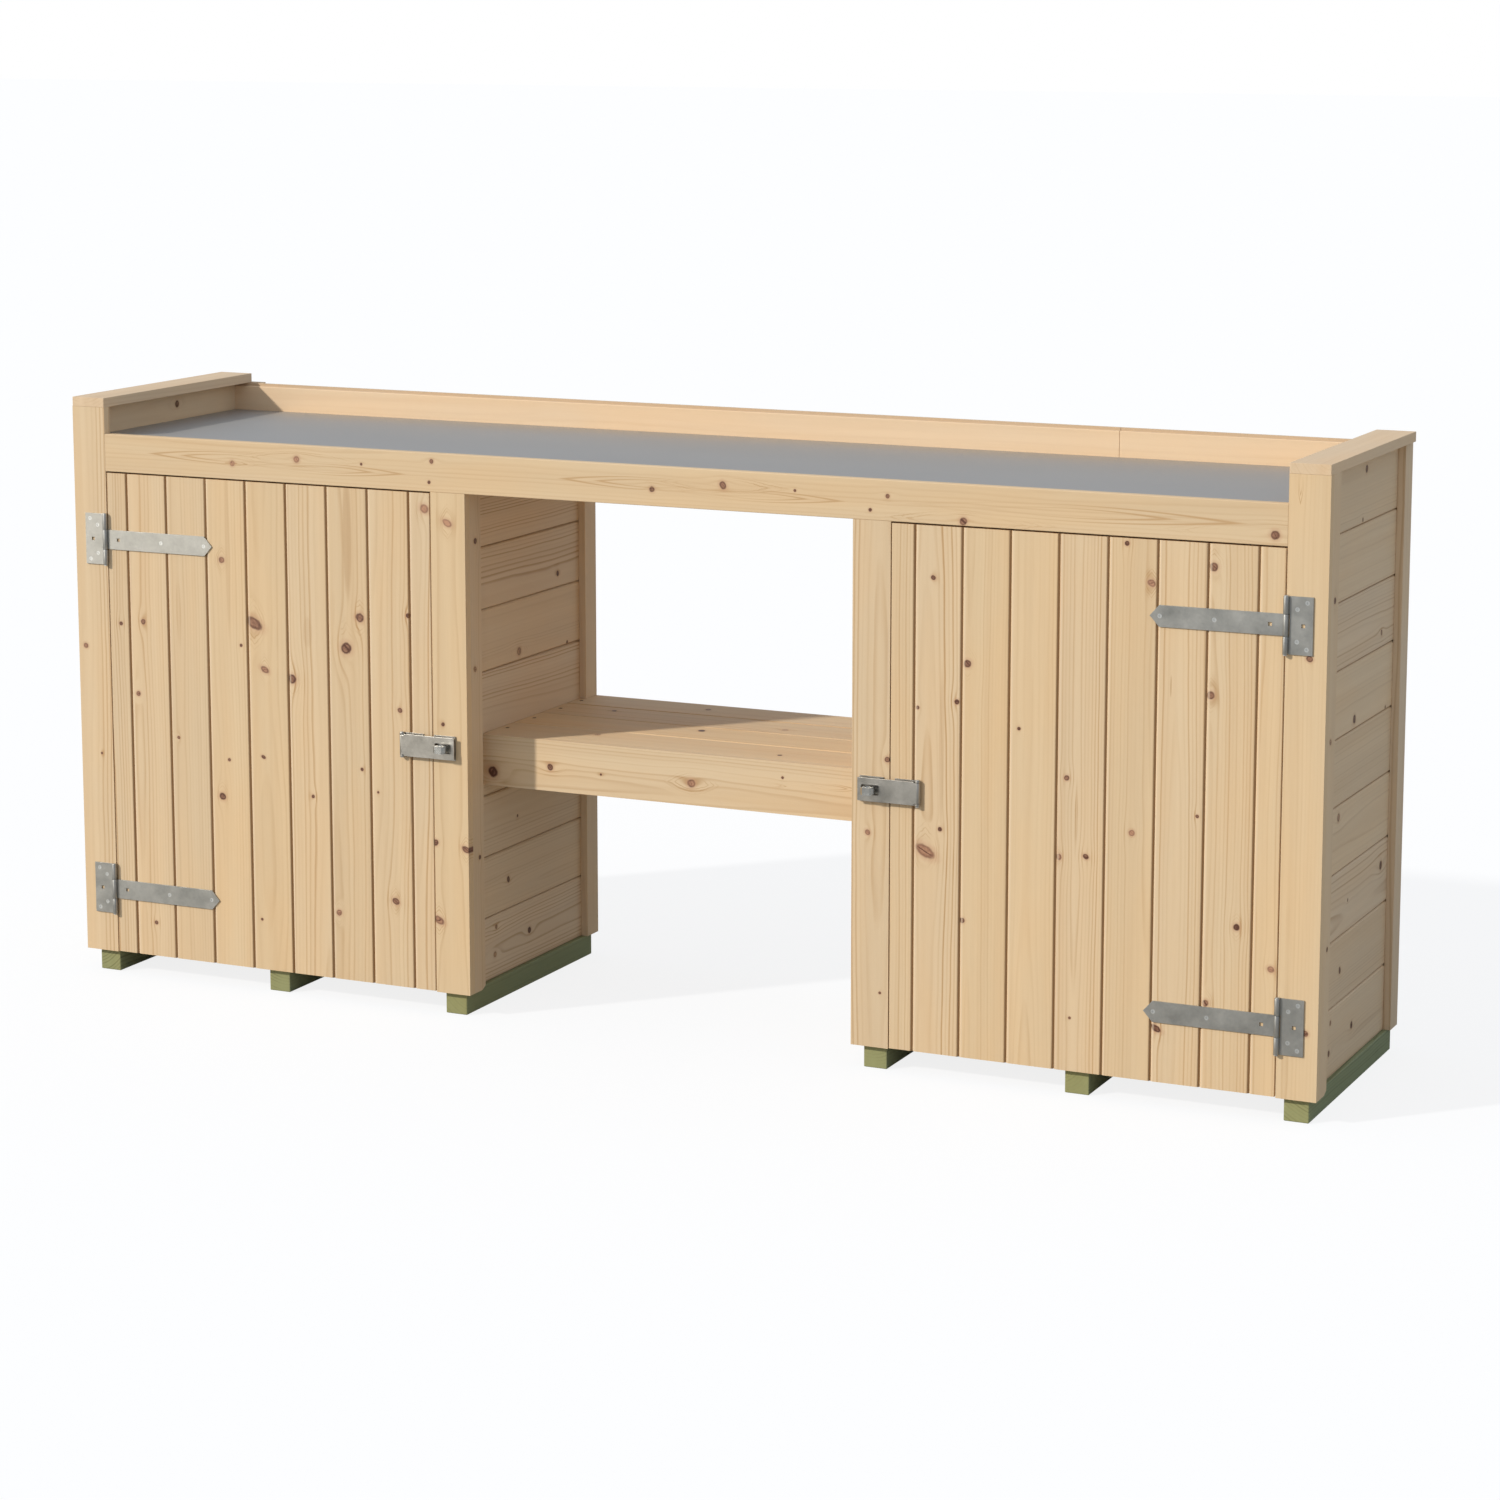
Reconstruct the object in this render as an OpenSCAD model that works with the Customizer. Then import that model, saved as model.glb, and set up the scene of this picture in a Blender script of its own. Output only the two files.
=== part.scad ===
// Potting bench: two matchboard cupboards joined by a sheet-topped tray and a low shelf.
// Origin: on the ground, at the middle of the bench. +X along the bench, +Y to the rear, +Z up.
// "Inner" is the side of a cupboard that faces the bay between the two, "outer" is the far side.

/* [Bench] */
// Length over both cupboards
bench_length = 2500; // [2450:10:2600]
// Depth from the front faces of the boards to the rear
bench_depth = 542; // [530:1:580]
// Height to the top of the side caps
bench_height = 1133; // [1130:1:1160]
// Width of one cupboard
cupboard_width = 861; // [850:1:880]

/* [Boards] */
// Thickness of the planed boards
board = 18; // [17:0.5:19]
// Thickness of the wall planks
plank = 19; // [18:0.5:20]
// Height of wall that one plank covers
plank_cover = 119; // [117:1:120]
// Width of the corner boards and side caps
corner_width = 72; // [70:1:80]
// Thickness of the strips beside the front corners
strip_thick = 23.5; // [20:0.5:24]
// Depth of the strips beside the front corners
strip_depth = 42; // [36:1:46]
// Thickness of the strips beside the rear corners
rear_strip_thick = 14.5; // [12:0.5:16]
// Depth of the strips beside the rear corners
rear_strip_depth = 46; // [40:1:50]
// Thickness of the rear corner boards
rear_board = 15; // [14:0.5:16]
// Bevel on each front edge of a matched joint
joint_bevel = 3; // [2:0.5:3.5]
// Open gap at the bottom of a matched joint
joint_gap = 0.6; // [0.4:0.1:1]
// Width of a post or batten
batten = 45; // [40:1:50]
// Thickness of a post or batten
batten_thick = 28; // [24:1:30]

/* [Bearers] */
// Width of a bearer
bearer_width = 45; // [40:1:45]
// Height of a bearer
bearer_height = 42; // [38:1:45]
// Distance of a bearer's front end behind the front faces
bearer_setback = 12; // [8:1:18]
// Length of a bearer
bearer_length = 510; // [480:1:515]

/* [Worktop] */
// Height of the worktop's upper face
worktop_height = 1060; // [1056:1:1064]
// Thickness of the worktop sheet
sheet = 1; // [0.5:0.5:2]
// Height of the front rail
rail_height = 72; // [70:1:76]
// Height of the front rail above the sheet
rail_lip = 4; // [2:1:6]
// Distance of the backboard's butt joint from the middle
backboard_joint = 700; // [500:10:900]
// Number of deck boards under the sheet
deck_count = 5; // [4:1:6]

/* [Shelf] */
// Height of the shelf's upper face
shelf_height = 524; // [480:1:560]
// Distance of the shelf's front face behind the front faces
shelf_setback = 97; // [80:1:110]
// Height of the shelf fascia
fascia_height = 97; // [90:1:110]
// Thickness of the shelf fascia
fascia_thick = 20; // [18:0.5:22]
// Depth of shelf that one board covers
shelf_cover = 108; // [104:1:110]

/* [Doors] */
// Gap round a closed door
door_gap = 2; // [2:0.5:3]
// Gap over and under a closed door
door_end_gap = 3; // [2:0.5:4]
// Width of door that one board covers
door_cover = 89; // [88:0.5:90]
// Height of a ledge behind a door
ledge_height = 88; // [80:1:100]
// Thickness of a ledge
ledge_thick = 20; // [18:1:20]

/* [Hinges] */
// Height of the lower hinges
low_hinge = 169; // [150:1:220]
// Height of the upper hinges
high_hinge = 860; // [800:1:880]
// Thickness of the hinge and hasp metal
metal = 2.5; // [2:0.1:3]
// Length of a strap from the hinge pin to its tip
strap_length = 240; // [220:1:250]
// Height of a strap
strap_height = 38; // [34:1:40]
// Length of the strap's pointed tip
strap_tip = 17; // [12:1:20]
// Width of a leaf from the hinge pin
leaf_width = 46.5; // [44:0.5:50]
// Height of a leaf
leaf_height = 99; // [90:1:110]
// Diameter of a hinge pin
pin_d = 5; // [4:0.5:5]
// Outer diameter of a knuckle
knuckle_d = 9.6; // [9:0.1:9.6]

/* [Hasps] */
// Height of the hasps
hasp_height = 513; // [450:1:600]
// Height of a hasp plate
hasp_tall = 42; // [40:1:44]
// Length of a hasp plate from its pin to its free end
hasp_length = 113; // [112:1:116]
// Distance from the hasp pin to the turning eye
eye_offset = 89; // [88:1:90]
// Distance of the left eye from the middle of the bench
left_eye_x = 436; // [432:1:437]
// Distance of the right eye from the middle of the bench
right_eye_x = 428; // [426:1:437]
// Length of a hasp slot
slot_length = 34; // [33:0.5:36]
// Height of a hasp slot
slot_tall = 18; // [17:0.5:20]
// Width of a turning eye
eye_width = 25; // [24:0.5:26]
// Thickness of a turning eye
eye_thick = 14; // [13:0.5:15]
// Reach of a turning eye in front of the boards
eye_reach = 29; // [28:0.5:30]
// Diameter of the padlock hole through a turning eye
shackle_hole_d = 10; // [9:0.5:10]

/* [Hidden] */
$fn = 48;

LEFT = -1;
RIGHT = 1;
cut = 1;                 // overshoot of a cutting tool
fit = 0.05;              // radial clearance of a running fit
seat = 0.5;              // gap that keeps two neighbouring boards apart
arris = 1;               // bevel on an edge that joins nothing

// Colours
pine = [0.86, 0.74, 0.59];
pale_pine = [0.90, 0.80, 0.66];
dark_pine = [0.78, 0.64, 0.48];
green_pine = [0.55, 0.56, 0.36];
zinc = [0.62, 0.62, 0.60];
bright_zinc = [0.72, 0.71, 0.69];
sheet_grey = [0.59, 0.59, 0.60];
screw_steel = [0.80, 0.80, 0.80];
rusty_steel = [0.30, 0.24, 0.20];

// Places along Y: the front faces of the boards lie at front_y, and all depths start there
front_y = (eye_reach - bench_depth) / 2;
rear_wall = bench_depth - rear_board;
rear_wall_face = rear_wall - board;

// Places along X, measured from the middle
outer_x = bench_length / 2;
inner_x = outer_x - cupboard_width;
outer_face = outer_x - strip_thick;
outer_inside = outer_face - plank;
inner_face = inner_x + strip_thick;
inner_inside = inner_face + plank;
door_free_x = inner_x + corner_width + door_gap;
door_hinge_x = outer_x - corner_width - door_gap;
door_width = door_hinge_x - door_free_x;
door_whole = 7;          // boards of full width in a door
middle_x = (inner_x + outer_x) / 2;

// Bearers, by the distance from each one's middle to the wall above it, left ones first
outer_bearer_in = [22, 14.5];
inner_bearer_out = [13, 19.5];
middle_bearer_in = 4.5;
bearer_x = [
    outer_bearer_in[0] - outer_face, middle_bearer_in - middle_x, -inner_face - inner_bearer_out[0],
    inner_face + inner_bearer_out[1], middle_x - middle_bearer_in, outer_face - outer_bearer_in[1]
];

// Heights
cap_under = bench_height - board;
backboard_top = cap_under - seat;    // top of its tongue
rail_top = worktop_height + rail_lip;
rail_under = rail_top - rail_height;
deck_top = worktop_height - sheet;
deck_under = deck_top - board;
batten_under = deck_under - batten;
foot_trim = 3;           // extra height of the lowest plank, whose groove is cut off
first_joint = bearer_height + foot_trim;
back_rows = 8;           // rows of plank under the backboard
backboard_foot = first_joint + back_rows * plank_cover;
floor_top = bearer_height + board;
door_foot = bearer_height + door_end_gap / 2;
door_top = rail_under - door_end_gap;
shelf_under = shelf_height - board;

// Matched joint: tongue on one edge, groove on the other
tongue_thick = 5.5;
tongue_long = 5;
groove_play = 0.4;
groove_deep = 5.6;

// Hinges
hinge_x = outer_x - corner_width + 1;
hinge_y = -5;
hinge_heights = [low_hinge, high_hinge];
knuckle_gap = 0.5;
head_d = 7.5;
pin_head_long = 1.5;
leaf_screws = [[36, 39.5], [36, -39.5], [19, 27.5], [19, -27.5]];
leaf_square_x = 29.5;
strap_screws = [125.5, 222];
strap_square_x = 28;
square_hole = 6.5;

// Screws
screw_d = 4;
screw_head_d = 8;
screw_head_tall = 2.4;
pilot_play = 0.1;
leaf_screw_long = 18;
strap_screw_long = 30;
hasp_screw_long = 16;
shelf_screw_long = 30;
shelf_screw_x = inner_face - 15;
shelf_screw_y = [171, 279, 387, 475];

// Hasps and turning eyes
hasp_y = -5.2;
hasp_knuckle_d = 9.8;
hasp_pin_d = 4;
hasp_leaf_length = 44;
hasp_leaf_tall = 46;
hasp_screws = [[30, 13], [30, -13]];
hasp_front = hasp_y - hasp_knuckle_d / 2;
eye_back = hasp_front - 0.8;
eye_stem_d = 8;
eye_flange_d = 16;
eye_flange_thick = 2;
eye_plate_size = 46;
eye_plate_screws = [[16, 15], [16, -15], [-16, 15], [-16, -15]];
eye_pocket_d = eye_flange_d + 1.2;
eye_pocket_deep = 2.5;

function eye_x(s) = s == LEFT ? left_eye_x : right_eye_x;
function hasp_pin_x(s) = eye_x(s) + eye_offset;
function pilot_deep(screw_long) = screw_long - metal + 2 * cut;
function plank_foot(k) = k == 0 ? bearer_height : first_joint + k * plank_cover;
function plank_rows(top) = ceil((top - first_joint) / plank_cover - 0.01);
function shelf_joint(k) = shelf_setback + fascia_thick + k * shelf_cover;

// ---------------------------------------------------------------- helpers

// Draws its children for the left or the right half; they are written for the right
module half(s) {
    translate([0, front_y, 0])
        mirror([s == LEFT ? 1 : 0, 0, 0])
            children();
}

// Box given by its lowest and highest corners
module block(low, high) {
    translate(low)
        cube(high - low);
}

// Cross-section of a matched board: its width along X, its face at Y = 0
module matched_section(width, thick, groove, tongue, tongue_bevel = joint_bevel) {
    edge = tongue ? width - joint_gap : width;
    low_bevel = groove ? joint_bevel : arris;
    high_bevel = tongue ? tongue_bevel : arris;
    tongue_low = (thick - tongue_thick) / 2;
    tongue_high = (thick + tongue_thick) / 2;
    tongue_points = [
        [edge, tongue_low], [width + tongue_long, tongue_low],
        [width + tongue_long, tongue_high], [edge, tongue_high]
    ];
    groove_points = [
        [0, tongue_high + groove_play], [groove_deep, tongue_high + groove_play],
        [groove_deep, tongue_low - groove_play], [0, tongue_low - groove_play]
    ];
    polygon(concat(
        [[0, low_bevel], [low_bevel, 0], [edge - high_bevel, 0], [edge, high_bevel]],
        tongue ? tongue_points : [],
        [[edge, thick], [0, thick]],
        groove ? groove_points : []
    ));
}

// Plank of row k in a wall that ends at the given height, lying along +Z
module wall_plank(k, top, length, thick) {
    last = k == plank_rows(top) - 1;
    high = last ? top : plank_foot(k + 1);
    linear_extrude(length)
        matched_section(high - plank_foot(k), thick, k > 0, !last);
}

// Cutter for a screw's pilot hole that runs along +Y from the given point
module pilot(x, y, z, deep) {
    translate([x, y, z])
        rotate([-90, 0, 0])
            cylinder(d = screw_d + 2 * pilot_play, h = deep);
}

// Cutter for a countersunk hole in a plate whose outer face is at y
module countersink(x, y, z) {
    translate([x, y, z])
        rotate([-90, 0, 0]) {
            translate([0, 0, -cut])
                cylinder(d = screw_head_d + 0.3, h = cut);
            cylinder(d1 = screw_head_d + 0.3, d2 = screw_d + 0.3, h = screw_head_tall);
            cylinder(d = screw_d + 0.3, h = metal + cut);
        }
}

// Countersunk screw with a cross recess, its head at the origin, along +Z
module screw(length) {
    recess_long = 4.6;
    recess_wide = 1;
    recess_deep = 1.2;
    difference() {
        union() {
            cylinder(d1 = screw_head_d, d2 = screw_d, h = screw_head_tall);
            cylinder(d = screw_d, h = length - screw_d);
            translate([0, 0, length - screw_d])
                cylinder(d1 = screw_d, d2 = 0.5, h = screw_d);
        }
        for (turn = [0, 90])
            rotate(turn)
                translate([-recess_long / 2, -recess_wide / 2, -cut])
                    cube([recess_long, recess_wide, cut + recess_deep]);
    }
}

// Screw that runs along +Y from the given point
module front_screw(x, y, z, length) {
    translate([x, y, z])
        rotate([-90, 0, 0])
            screw(length);
}

// ---------------------------------------------------------------- base

module bearer(i) {
    color(green_pine)
        translate([bearer_x[i] - bearer_width / 2, front_y + bearer_setback, 0])
            cube([bearer_width, bearer_length, bearer_height]);
}

module floor_panel(s) {
    front = board + 2 * door_gap;
    rows = 5;
    row = (rear_wall_face - front) / rows;
    color(pine)
        half(s)
            for (i = [0 : rows - 1])
                block(
                    [inner_inside + seat, front + i * row, bearer_height],
                    [outer_inside - seat, front + (i + 1) * row - seat, floor_top]
                );
}

// ---------------------------------------------------------------- walls

module outer_wall(s) {
    color(pine)
        half(s)
            for (k = [0 : plank_rows(cap_under) - 1])
                translate([outer_face, rear_wall_face, plank_foot(k)])
                    rotate([90, -90, 0])
                        wall_plank(k, cap_under, rear_wall_face - board, plank);
}

module inner_wall(s) {
    color(pine)
        half(s)
            for (k = [0 : plank_rows(deck_under) - 1])
                translate([inner_face, board, plank_foot(k)])
                    rotate([-90, -90, 0])
                        wall_plank(k, deck_under, rear_wall_face - board, plank);
}

module back_wall(s) {
    color(dark_pine)
        half(s)
            for (k = [0 : back_rows - 1])
                translate([inner_face, rear_wall, plank_foot(k)])
                    rotate([180, -90, 0])
                        wall_plank(k, backboard_foot, outer_face - inner_face, board);
}

module posts(s) {
    rear_post_face = rear_wall_face - batten_thick;
    color(dark_pine)
        half(s) {
            block([outer_inside - batten_thick, board, floor_top],
                [outer_inside, board + batten, batten_under]);
            block([inner_inside, board + seat, floor_top],
                [inner_inside + batten, board + seat + batten_thick, batten_under]);
            block([outer_inside - batten, rear_post_face, floor_top],
                [outer_inside, rear_wall_face, batten_under]);
            block([inner_inside, rear_post_face, floor_top],
                [inner_inside + batten, rear_wall_face, batten_under]);
        }
}

// ---------------------------------------------------------------- corners

module outer_corner(s) {
    color(pale_pine)
        half(s)
            difference() {
                block([outer_x - corner_width, 0, bearer_height], [outer_x, board, cap_under]);
                for (z = hinge_heights)
                    for (p = leaf_screws)
                        pilot(hinge_x + p[0], -cut, z + p[1], pilot_deep(leaf_screw_long));
            }
}

module inner_corner(s) {
    color(pale_pine)
        half(s)
            difference() {
                block([inner_x, 0, bearer_height], [inner_x + corner_width, board, rail_under]);
                for (p = eye_plate_screws)
                    pilot(eye_x(s) + p[0], -cut, hasp_height + p[1], pilot_deep(hasp_screw_long));
                translate([eye_x(s), -cut, hasp_height])
                    rotate([-90, 0, 0])
                        cylinder(d = eye_pocket_d, h = eye_pocket_deep + cut);
            }
}

module corner_strips(s) {
    toe = [13, 6];
    rear = board + strip_depth;
    color(dark_pine)
        half(s)
            for (end = [[outer_face, cap_under], [inner_x, deck_under]])
                difference() {
                    block([end[0], board, bearer_height], [end[0] + strip_thick, rear, end[1]]);
                    translate([end[0] - cut, 0, 0])
                        rotate([90, 0, 90])
                            linear_extrude(strip_thick + 2 * cut)
                                polygon([
                                    [rear - toe[0], bearer_height - cut],
                                    [rear - toe[0], bearer_height],
                                    [rear, bearer_height + toe[1]],
                                    [rear + cut, bearer_height + toe[1]],
                                    [rear + cut, bearer_height - cut]
                                ]);
                }
}

module rear_corners(s) {
    strip_front = bench_depth - rear_strip_depth;
    color(dark_pine)
        half(s) {
            block([outer_face, strip_front, bearer_height],
                [outer_face + rear_strip_thick, bench_depth, cap_under]);
            block([outer_face - corner_width, rear_wall, bearer_height],
                [outer_face - seat, bench_depth, backboard_top]);
            block([inner_face - rear_strip_thick, strip_front, bearer_height],
                [inner_face, bench_depth, backboard_foot]);
            block([inner_face + seat, rear_wall, bearer_height],
                [inner_face + corner_width, bench_depth, backboard_foot]);
        }
}

// ---------------------------------------------------------------- worktop

module front_rail() {
    reach = outer_x - corner_width - seat / 2;
    color(pale_pine)
        half(RIGHT)
            block([-reach, 0, rail_under], [reach, board, rail_top]);
}

module backboard() {
    tall = backboard_top - tongue_long - backboard_foot;
    color(pine)
        half(RIGHT)
            for (run = [[-outer_face, backboard_joint], [backboard_joint + joint_gap, outer_face]])
                translate([run[1], rear_wall_face, backboard_foot])
                    rotate([0, -90, 0])
                        linear_extrude(run[1] - run[0])
                            matched_section(tall, board, true, true, arris);
}

module cap(s) {
    color(pale_pine)
        half(s)
            block([outer_x - corner_width, 0, cap_under], [outer_x, rear_wall, bench_height]);
}

module deck_battens() {
    ledger_reach = inner_face - seat;
    ledger_under = deck_under - batten_thick;
    color(dark_pine) {
        for (s = [LEFT, RIGHT])
            half(s) {
                block([inner_inside, board, batten_under],
                    [inner_inside + batten_thick, rear_wall_face, deck_under]);
                block([outer_inside - batten_thick, board, batten_under],
                    [outer_inside, rear_wall_face, deck_under]);
            }
        half(RIGHT)
            for (front = [board, rear_wall_face - batten_thick])
                block([-ledger_reach + strip_thick, front, ledger_under],
                    [ledger_reach - strip_thick, front + batten_thick, deck_under]);
    }
}

module deck_boards() {
    reach = outer_inside - seat;
    row = (rear_wall_face - board) / deck_count;
    color(dark_pine)
        half(RIGHT)
            for (i = [0 : deck_count - 1])
                block([-reach, board + i * row, deck_under],
                    [reach, board + (i + 1) * row - seat, deck_top]);
}

module worktop_sheet() {
    color(sheet_grey)
        half(RIGHT)
            block([-outer_inside, board, deck_top], [outer_inside, rear_wall_face, worktop_height]);
}

// ---------------------------------------------------------------- shelf

module shelf_cleats() {
    front = shelf_setback + fascia_thick;
    rear = bench_depth - rear_strip_depth - seat;
    cleat_under = shelf_under - batten;
    color(dark_pine) {
        for (s = [LEFT, RIGHT])
            half(s)
                difference() {
                    block([inner_face - batten_thick, front, cleat_under],
                        [inner_face, rear, shelf_under]);
                    for (y = shelf_screw_y)
                        translate([shelf_screw_x, y, shelf_height - shelf_screw_long - cut])
                            cylinder(d = screw_d + 2 * pilot_play, h = shelf_screw_long);
                }
        half(RIGHT)
            block([-batten / 2, front, cleat_under],
                [batten / 2, bench_depth - board, shelf_under]);
    }
}

module shelf_fascia() {
    reach = inner_face - seat;
    color(pale_pine)
        half(RIGHT)
            block([-reach, shelf_setback, shelf_height - fascia_height],
                [reach, shelf_setback + fascia_thick, shelf_height]);
}

module shelf_rear_rail() {
    reach = inner_face - rear_strip_thick - seat;
    rail_tall = 70;
    color(dark_pine)
        half(RIGHT)
            block([-reach, bench_depth - board, shelf_under - rail_tall],
                [reach, bench_depth, shelf_under]);
}

module shelf_boards() {
    reach = inner_face - seat;
    rows = 4;
    notch_front = bench_depth - rear_strip_depth - seat;
    notch_x = inner_face - rear_strip_thick - seat;
    color(pine)
        half(RIGHT)
            difference() {
                for (i = [0 : rows - 1]) {
                    last = i == rows - 1;
                    rear = last ? bench_depth : shelf_joint(i + 1);
                    translate([reach, shelf_joint(i), shelf_height])
                        rotate([-90, 0, 90])
                            linear_extrude(2 * reach)
                                matched_section(rear - shelf_joint(i), board, i > 0, !last);
                }
                for (s = [LEFT, RIGHT])
                    mirror([s == LEFT ? 1 : 0, 0, 0]) {
                        block([notch_x, notch_front, shelf_under - cut],
                            [outer_x, bench_depth + cut, shelf_height + cut]);
                        for (y = shelf_screw_y)
                            translate([shelf_screw_x, y, shelf_height])
                                mirror([0, 0, 1])
                                    shelf_screw_hole();
                    }
            }
}

// Cutter for a screw hole with a countersunk mouth, along +Z
module shelf_screw_hole() {
    translate([0, 0, -cut])
        cylinder(d = screw_head_d + 0.3, h = cut);
    cylinder(d1 = screw_head_d + 0.3, d2 = screw_d + 0.3, h = screw_head_tall);
    cylinder(d = screw_d + 0.3, h = board + cut);
}

module shelf_screws() {
    color(rusty_steel)
        for (s = [LEFT, RIGHT])
            half(s)
                for (y = shelf_screw_y)
                    translate([shelf_screw_x, y, shelf_height])
                        mirror([0, 0, 1])
                            screw(shelf_screw_long);
}

// ---------------------------------------------------------------- hinges

// Tube round a vertical pin at the given place, between two heights
module knuckle(x, y, low, high, outer_d) {
    translate([x, y, low])
        cylinder(d = outer_d, h = high - low);
}

// Cutter for the pin's bore, long enough for any knuckle on it
module pin_bore(x, y, low, high, d) {
    translate([x, y, low - cut])
        cylinder(d = d + 2 * fit, h = high - low + 2 * cut);
}

module hinge_leaf(z) {
    low = z - leaf_height / 2;
    high = z + leaf_height / 2;
    notch = strap_height / 2 + knuckle_gap / 2;
    notch_x = hinge_x + knuckle_d / 2 + 1;
    difference() {
        union() {
            block([notch_x, -metal, low], [hinge_x + leaf_width, 0, high]);
            for (run = [[low, z - notch], [z + notch, high]]) {
                knuckle(hinge_x, hinge_y, run[0], run[1], knuckle_d);
                block([hinge_x, -metal, run[0]], [notch_x, hinge_y + knuckle_d / 2, run[1]]);
            }
        }
        pin_bore(hinge_x, hinge_y, low, high, pin_d);
        for (p = leaf_screws)
            countersink(hinge_x + p[0], -metal, z + p[1]);
        translate([hinge_x + leaf_square_x, -metal / 2, z])
            cube([square_hole, metal + 2 * cut, square_hole], center = true);
    }
}

module hinge_leaves(s) {
    color(zinc)
        half(s)
            for (z = hinge_heights)
                hinge_leaf(z);
}

module hinge_pins(s) {
    color(screw_steel)
        half(s)
            for (z = hinge_heights)
                translate([hinge_x, hinge_y, z - leaf_height / 2 - pin_head_long]) {
                    cylinder(d = head_d, h = pin_head_long);
                    cylinder(d = pin_d, h = leaf_height + 2 * pin_head_long);
                    translate([0, 0, leaf_height + pin_head_long])
                        cylinder(d = head_d, h = pin_head_long);
                }
}

module hinge_strap(z) {
    low = z - strap_height / 2 + knuckle_gap / 2;
    high = z + strap_height / 2 - knuckle_gap / 2;
    half_tall = (high - low) / 2;
    difference() {
        union() {
            knuckle(hinge_x, hinge_y, low, high, knuckle_d);
            block([hinge_x - knuckle_d, -metal, low], [hinge_x, hinge_y + knuckle_d / 2, high]);
            translate([hinge_x, 0, z])
                rotate([90, 0, 0])
                    linear_extrude(metal)
                        polygon([
                            [-knuckle_d / 2 - cut, -half_tall],
                            [-knuckle_d / 2 - cut, half_tall],
                            [strap_tip - strap_length, half_tall],
                            [-strap_length, 0],
                            [strap_tip - strap_length, -half_tall]
                        ]);
        }
        pin_bore(hinge_x, hinge_y, low, high, pin_d);
        for (x = strap_screws)
            countersink(hinge_x - x, -metal, z);
        translate([hinge_x - strap_square_x, -metal / 2, z])
            cube([square_hole, metal + 2 * cut, square_hole], center = true);
    }
}

module hinge_straps(s) {
    color(zinc)
        half(s)
            for (z = hinge_heights)
                hinge_strap(z);
}

// ---------------------------------------------------------------- doors

module door_boards(s) {
    edge_width = (door_width - door_whole * door_cover) / 2;
    joints = [for (i = [0 : door_whole]) door_free_x + edge_width + i * door_cover];
    starts = concat([door_free_x], joints);
    ends = concat(joints, [door_hinge_x]);
    color(pale_pine)
        half(s)
            difference() {
                for (i = [0 : len(starts) - 1])
                    translate([starts[i], 0, door_foot])
                        linear_extrude(door_top - door_foot)
                            matched_section(ends[i] - starts[i], board, i > 0, i < len(starts) - 1);
                for (z = hinge_heights)
                    for (x = strap_screws)
                        pilot(hinge_x - x, -cut, z, board + 2 * cut);
                for (p = hasp_screws)
                    pilot(hasp_pin_x(s) - p[0], -cut, hasp_height + p[1],
                        pilot_deep(hasp_screw_long));
            }
}

module door_ledges(s) {
    free_x = inner_inside + batten + 4;
    hinge_side_x = door_hinge_x - 16;
    rear = board + ledge_thick;
    low_top = low_hinge + ledge_height / 2;
    high_foot = high_hinge - ledge_height / 2;
    brace_wide = 95;
    color(pine)
        half(s) {
            difference() {
                for (z = hinge_heights)
                    block([free_x, board, z - ledge_height / 2],
                        [hinge_side_x, rear, z + ledge_height / 2]);
                for (z = hinge_heights)
                    for (x = strap_screws)
                        pilot(hinge_x - x, board - cut, z, strap_screw_long - board);
            }
            // The brace rises from the hinge side to the free side
            translate([0, rear, 0])
                rotate([90, 0, 0])
                    linear_extrude(ledge_thick)
                        polygon([
                            [hinge_side_x, low_top + seat],
                            [hinge_side_x - brace_wide, low_top + seat],
                            [free_x, high_foot - seat],
                            [free_x + brace_wide, high_foot - seat]
                        ]);
        }
}

module hasp_leaf(s) {
    x = hasp_pin_x(s);
    low = hasp_height - hasp_leaf_tall / 2;
    high = hasp_height + hasp_leaf_tall / 2;
    notch = hasp_tall / 2 - 2;
    notch_x = x - hasp_knuckle_d / 2 - 0.8;
    color(bright_zinc)
        half(s)
            difference() {
                union() {
                    block([x - hasp_leaf_length, -metal, low], [notch_x, 0, high]);
                    for (run = [[low, hasp_height - notch], [hasp_height + notch, high]]) {
                        knuckle(x, hasp_y, run[0], run[1], hasp_knuckle_d);
                        block([notch_x, -metal, run[0]],
                            [x, hasp_y + hasp_knuckle_d / 2, run[1]]);
                    }
                }
                pin_bore(x, hasp_y, low, high, hasp_pin_d);
                for (p = hasp_screws)
                    countersink(x - p[0], -metal, hasp_height + p[1]);
            }
}

module hasp_pin(s) {
    low = hasp_height - hasp_leaf_tall / 2;
    pin_head_d = 7;
    color(screw_steel)
        half(s)
            translate([hasp_pin_x(s), hasp_y, low - pin_head_long]) {
                cylinder(d = pin_head_d, h = pin_head_long);
                cylinder(d = hasp_pin_d, h = hasp_leaf_tall + 2 * pin_head_long);
                translate([0, 0, hasp_leaf_tall + pin_head_long])
                    cylinder(d = pin_head_d, h = pin_head_long);
            }
}

// ---------------------------------------------------------------- hasps and eyes

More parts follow.
